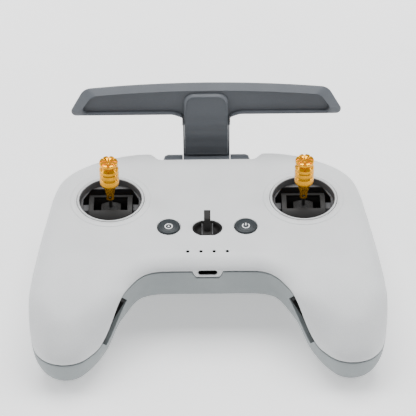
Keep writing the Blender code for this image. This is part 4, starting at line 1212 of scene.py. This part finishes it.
def make_softened():
    """CAD pieces whose shape is right, with softened edges and their own finish."""
    for node, name, width, body in (
        ("custom_switch", "custom_switch_knob", 0.2, "custom_slider"),
        ("mode_switch", "mode_switch_knob", 0.2, "mode_slider"),
        ("tilt_dial", "tilt_wheel", 0.15, "dial"),
    ):
        finish_piece(from_frame(node, name, width), BUTTON, body, [node])
    for part, name, width, look, slot in (
        ("storage_liner", "slot_lining", 0.25, RUBBER, "black_rubber"),
        ("adjuster_plug", "plug_moulding", 0.3, RUBBER, "black_rubber"),
        ("far_case_screw", "far_screw_head", 0.12, STEEL, "steel"),
        ("grip_case_screw", "grip_screw_head", 0.12, STEEL, "steel"),
    ):
        for side in ("left", "right"):
            node = f"{side}_{part}"
            finish_piece(from_frame(node, f"{side}_{name}", width), look, "housing", [node])


def dress_frame():
    """Materials of the CAD nodes that stay in view or inside."""
    for look, names in (
        (STEEL, ("left_grub_screw", "right_grub_screw", "antenna_hinge_pin", "dial_axle", "radio_shield")),
        (BOARD, ("main_board", "button_board", "left_antenna_element", "right_antenna_element")),
        (BLACK, ("usb_tongue", "battery_tray")),
        (WRAP, ("near_battery_cell", "far_battery_cell")),
        (JACKET, ("left_antenna_lead", "right_antenna_lead")),
    ):
        for name in names:
            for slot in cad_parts[name].material_slots:
                slot.material = look


# --- Scene ---------------------------------------------------------------------------------------


def make_floor():
    bpy.ops.mesh.primitive_plane_add(size=FLOOR_SIZE * MM, location=(0, 0, -FLOOR_DROP * MM))
    floor = bpy.context.object
    floor.name = "studio_floor"
    floor.data.materials.append(floor_look())


def area_light(name, size, energy, place, aim=(0, 0, 30)):
    data = bpy.data.lights.new(name, "AREA")
    data.shape = "RECTANGLE"
    data.size = size[0] * MM
    data.size_y = size[1] * MM
    data.energy = energy
    lamp = linked(name, data)
    lamp.location = Vector(place) * MM
    towards = (Vector(aim) - Vector(place)).to_track_quat("-Z", "Y")
    lamp.rotation_euler = towards.to_euler()


def make_studio():
    world = bpy.data.worlds.new("studio")
    bpy.context.scene.world = world
    world.use_nodes = True
    sky = world.node_tree.nodes["Background"]
    sky.inputs["Color"].default_value = (0.93, 0.96, 1.0, 1.0)
    sky.inputs["Strength"].default_value = 0.4
    area_light("top_softbox", (1000, 700), 20.0, (0, 250, 1100))
    for kind, size, energy, (x, y, z) in (
        ("strip", (150, 400), 0.9, (850, -200, 260)),
        ("softbox", (300, 700), 4.0, (900, 100, 700)),
    ):
        area_light(f"left_{kind}", size, energy, (-x, y, z))
        area_light(f"right_{kind}", size, energy, (x, y, z))


def make_camera():
    tilt = radians(CAMERA_ELEVATION)
    eye = Vector((0, -CAMERA_DISTANCE * cos(tilt), FACE_Z + CAMERA_DISTANCE * sin(tilt)))
    look = (Vector(CAMERA_AIM) - eye).to_track_quat("-Z", "Y").to_matrix().to_4x4()
    data = bpy.data.cameras.new("camera")
    data.lens = CAMERA_LENS
    data.sensor_width = 36
    data.clip_end = 20
    camera = linked("camera", data)
    camera.matrix_world = (
        Matrix.Translation(eye * MM) @ look @ Matrix.Rotation(radians(CAMERA_ROLL), 4, "Z")
    )
    bpy.context.scene.camera = camera


make_front_shell()
make_rear_shell()
make_seam_shade_strip()
make_sticks()
make_face_button("custom_key_cap", -BUTTON_X, "custom_key", "custom_button")
make_face_button("power_key_cap", BUTTON_X, "power_key", "power_button")
make_marks()
make_lanyard()
make_lights()
make_usb()
make_arm()
make_cover()
make_tongue()
make_hinge()
make_shoulder_buttons()
make_softened()
dress_frame()
make_floor()
make_studio()
make_camera()
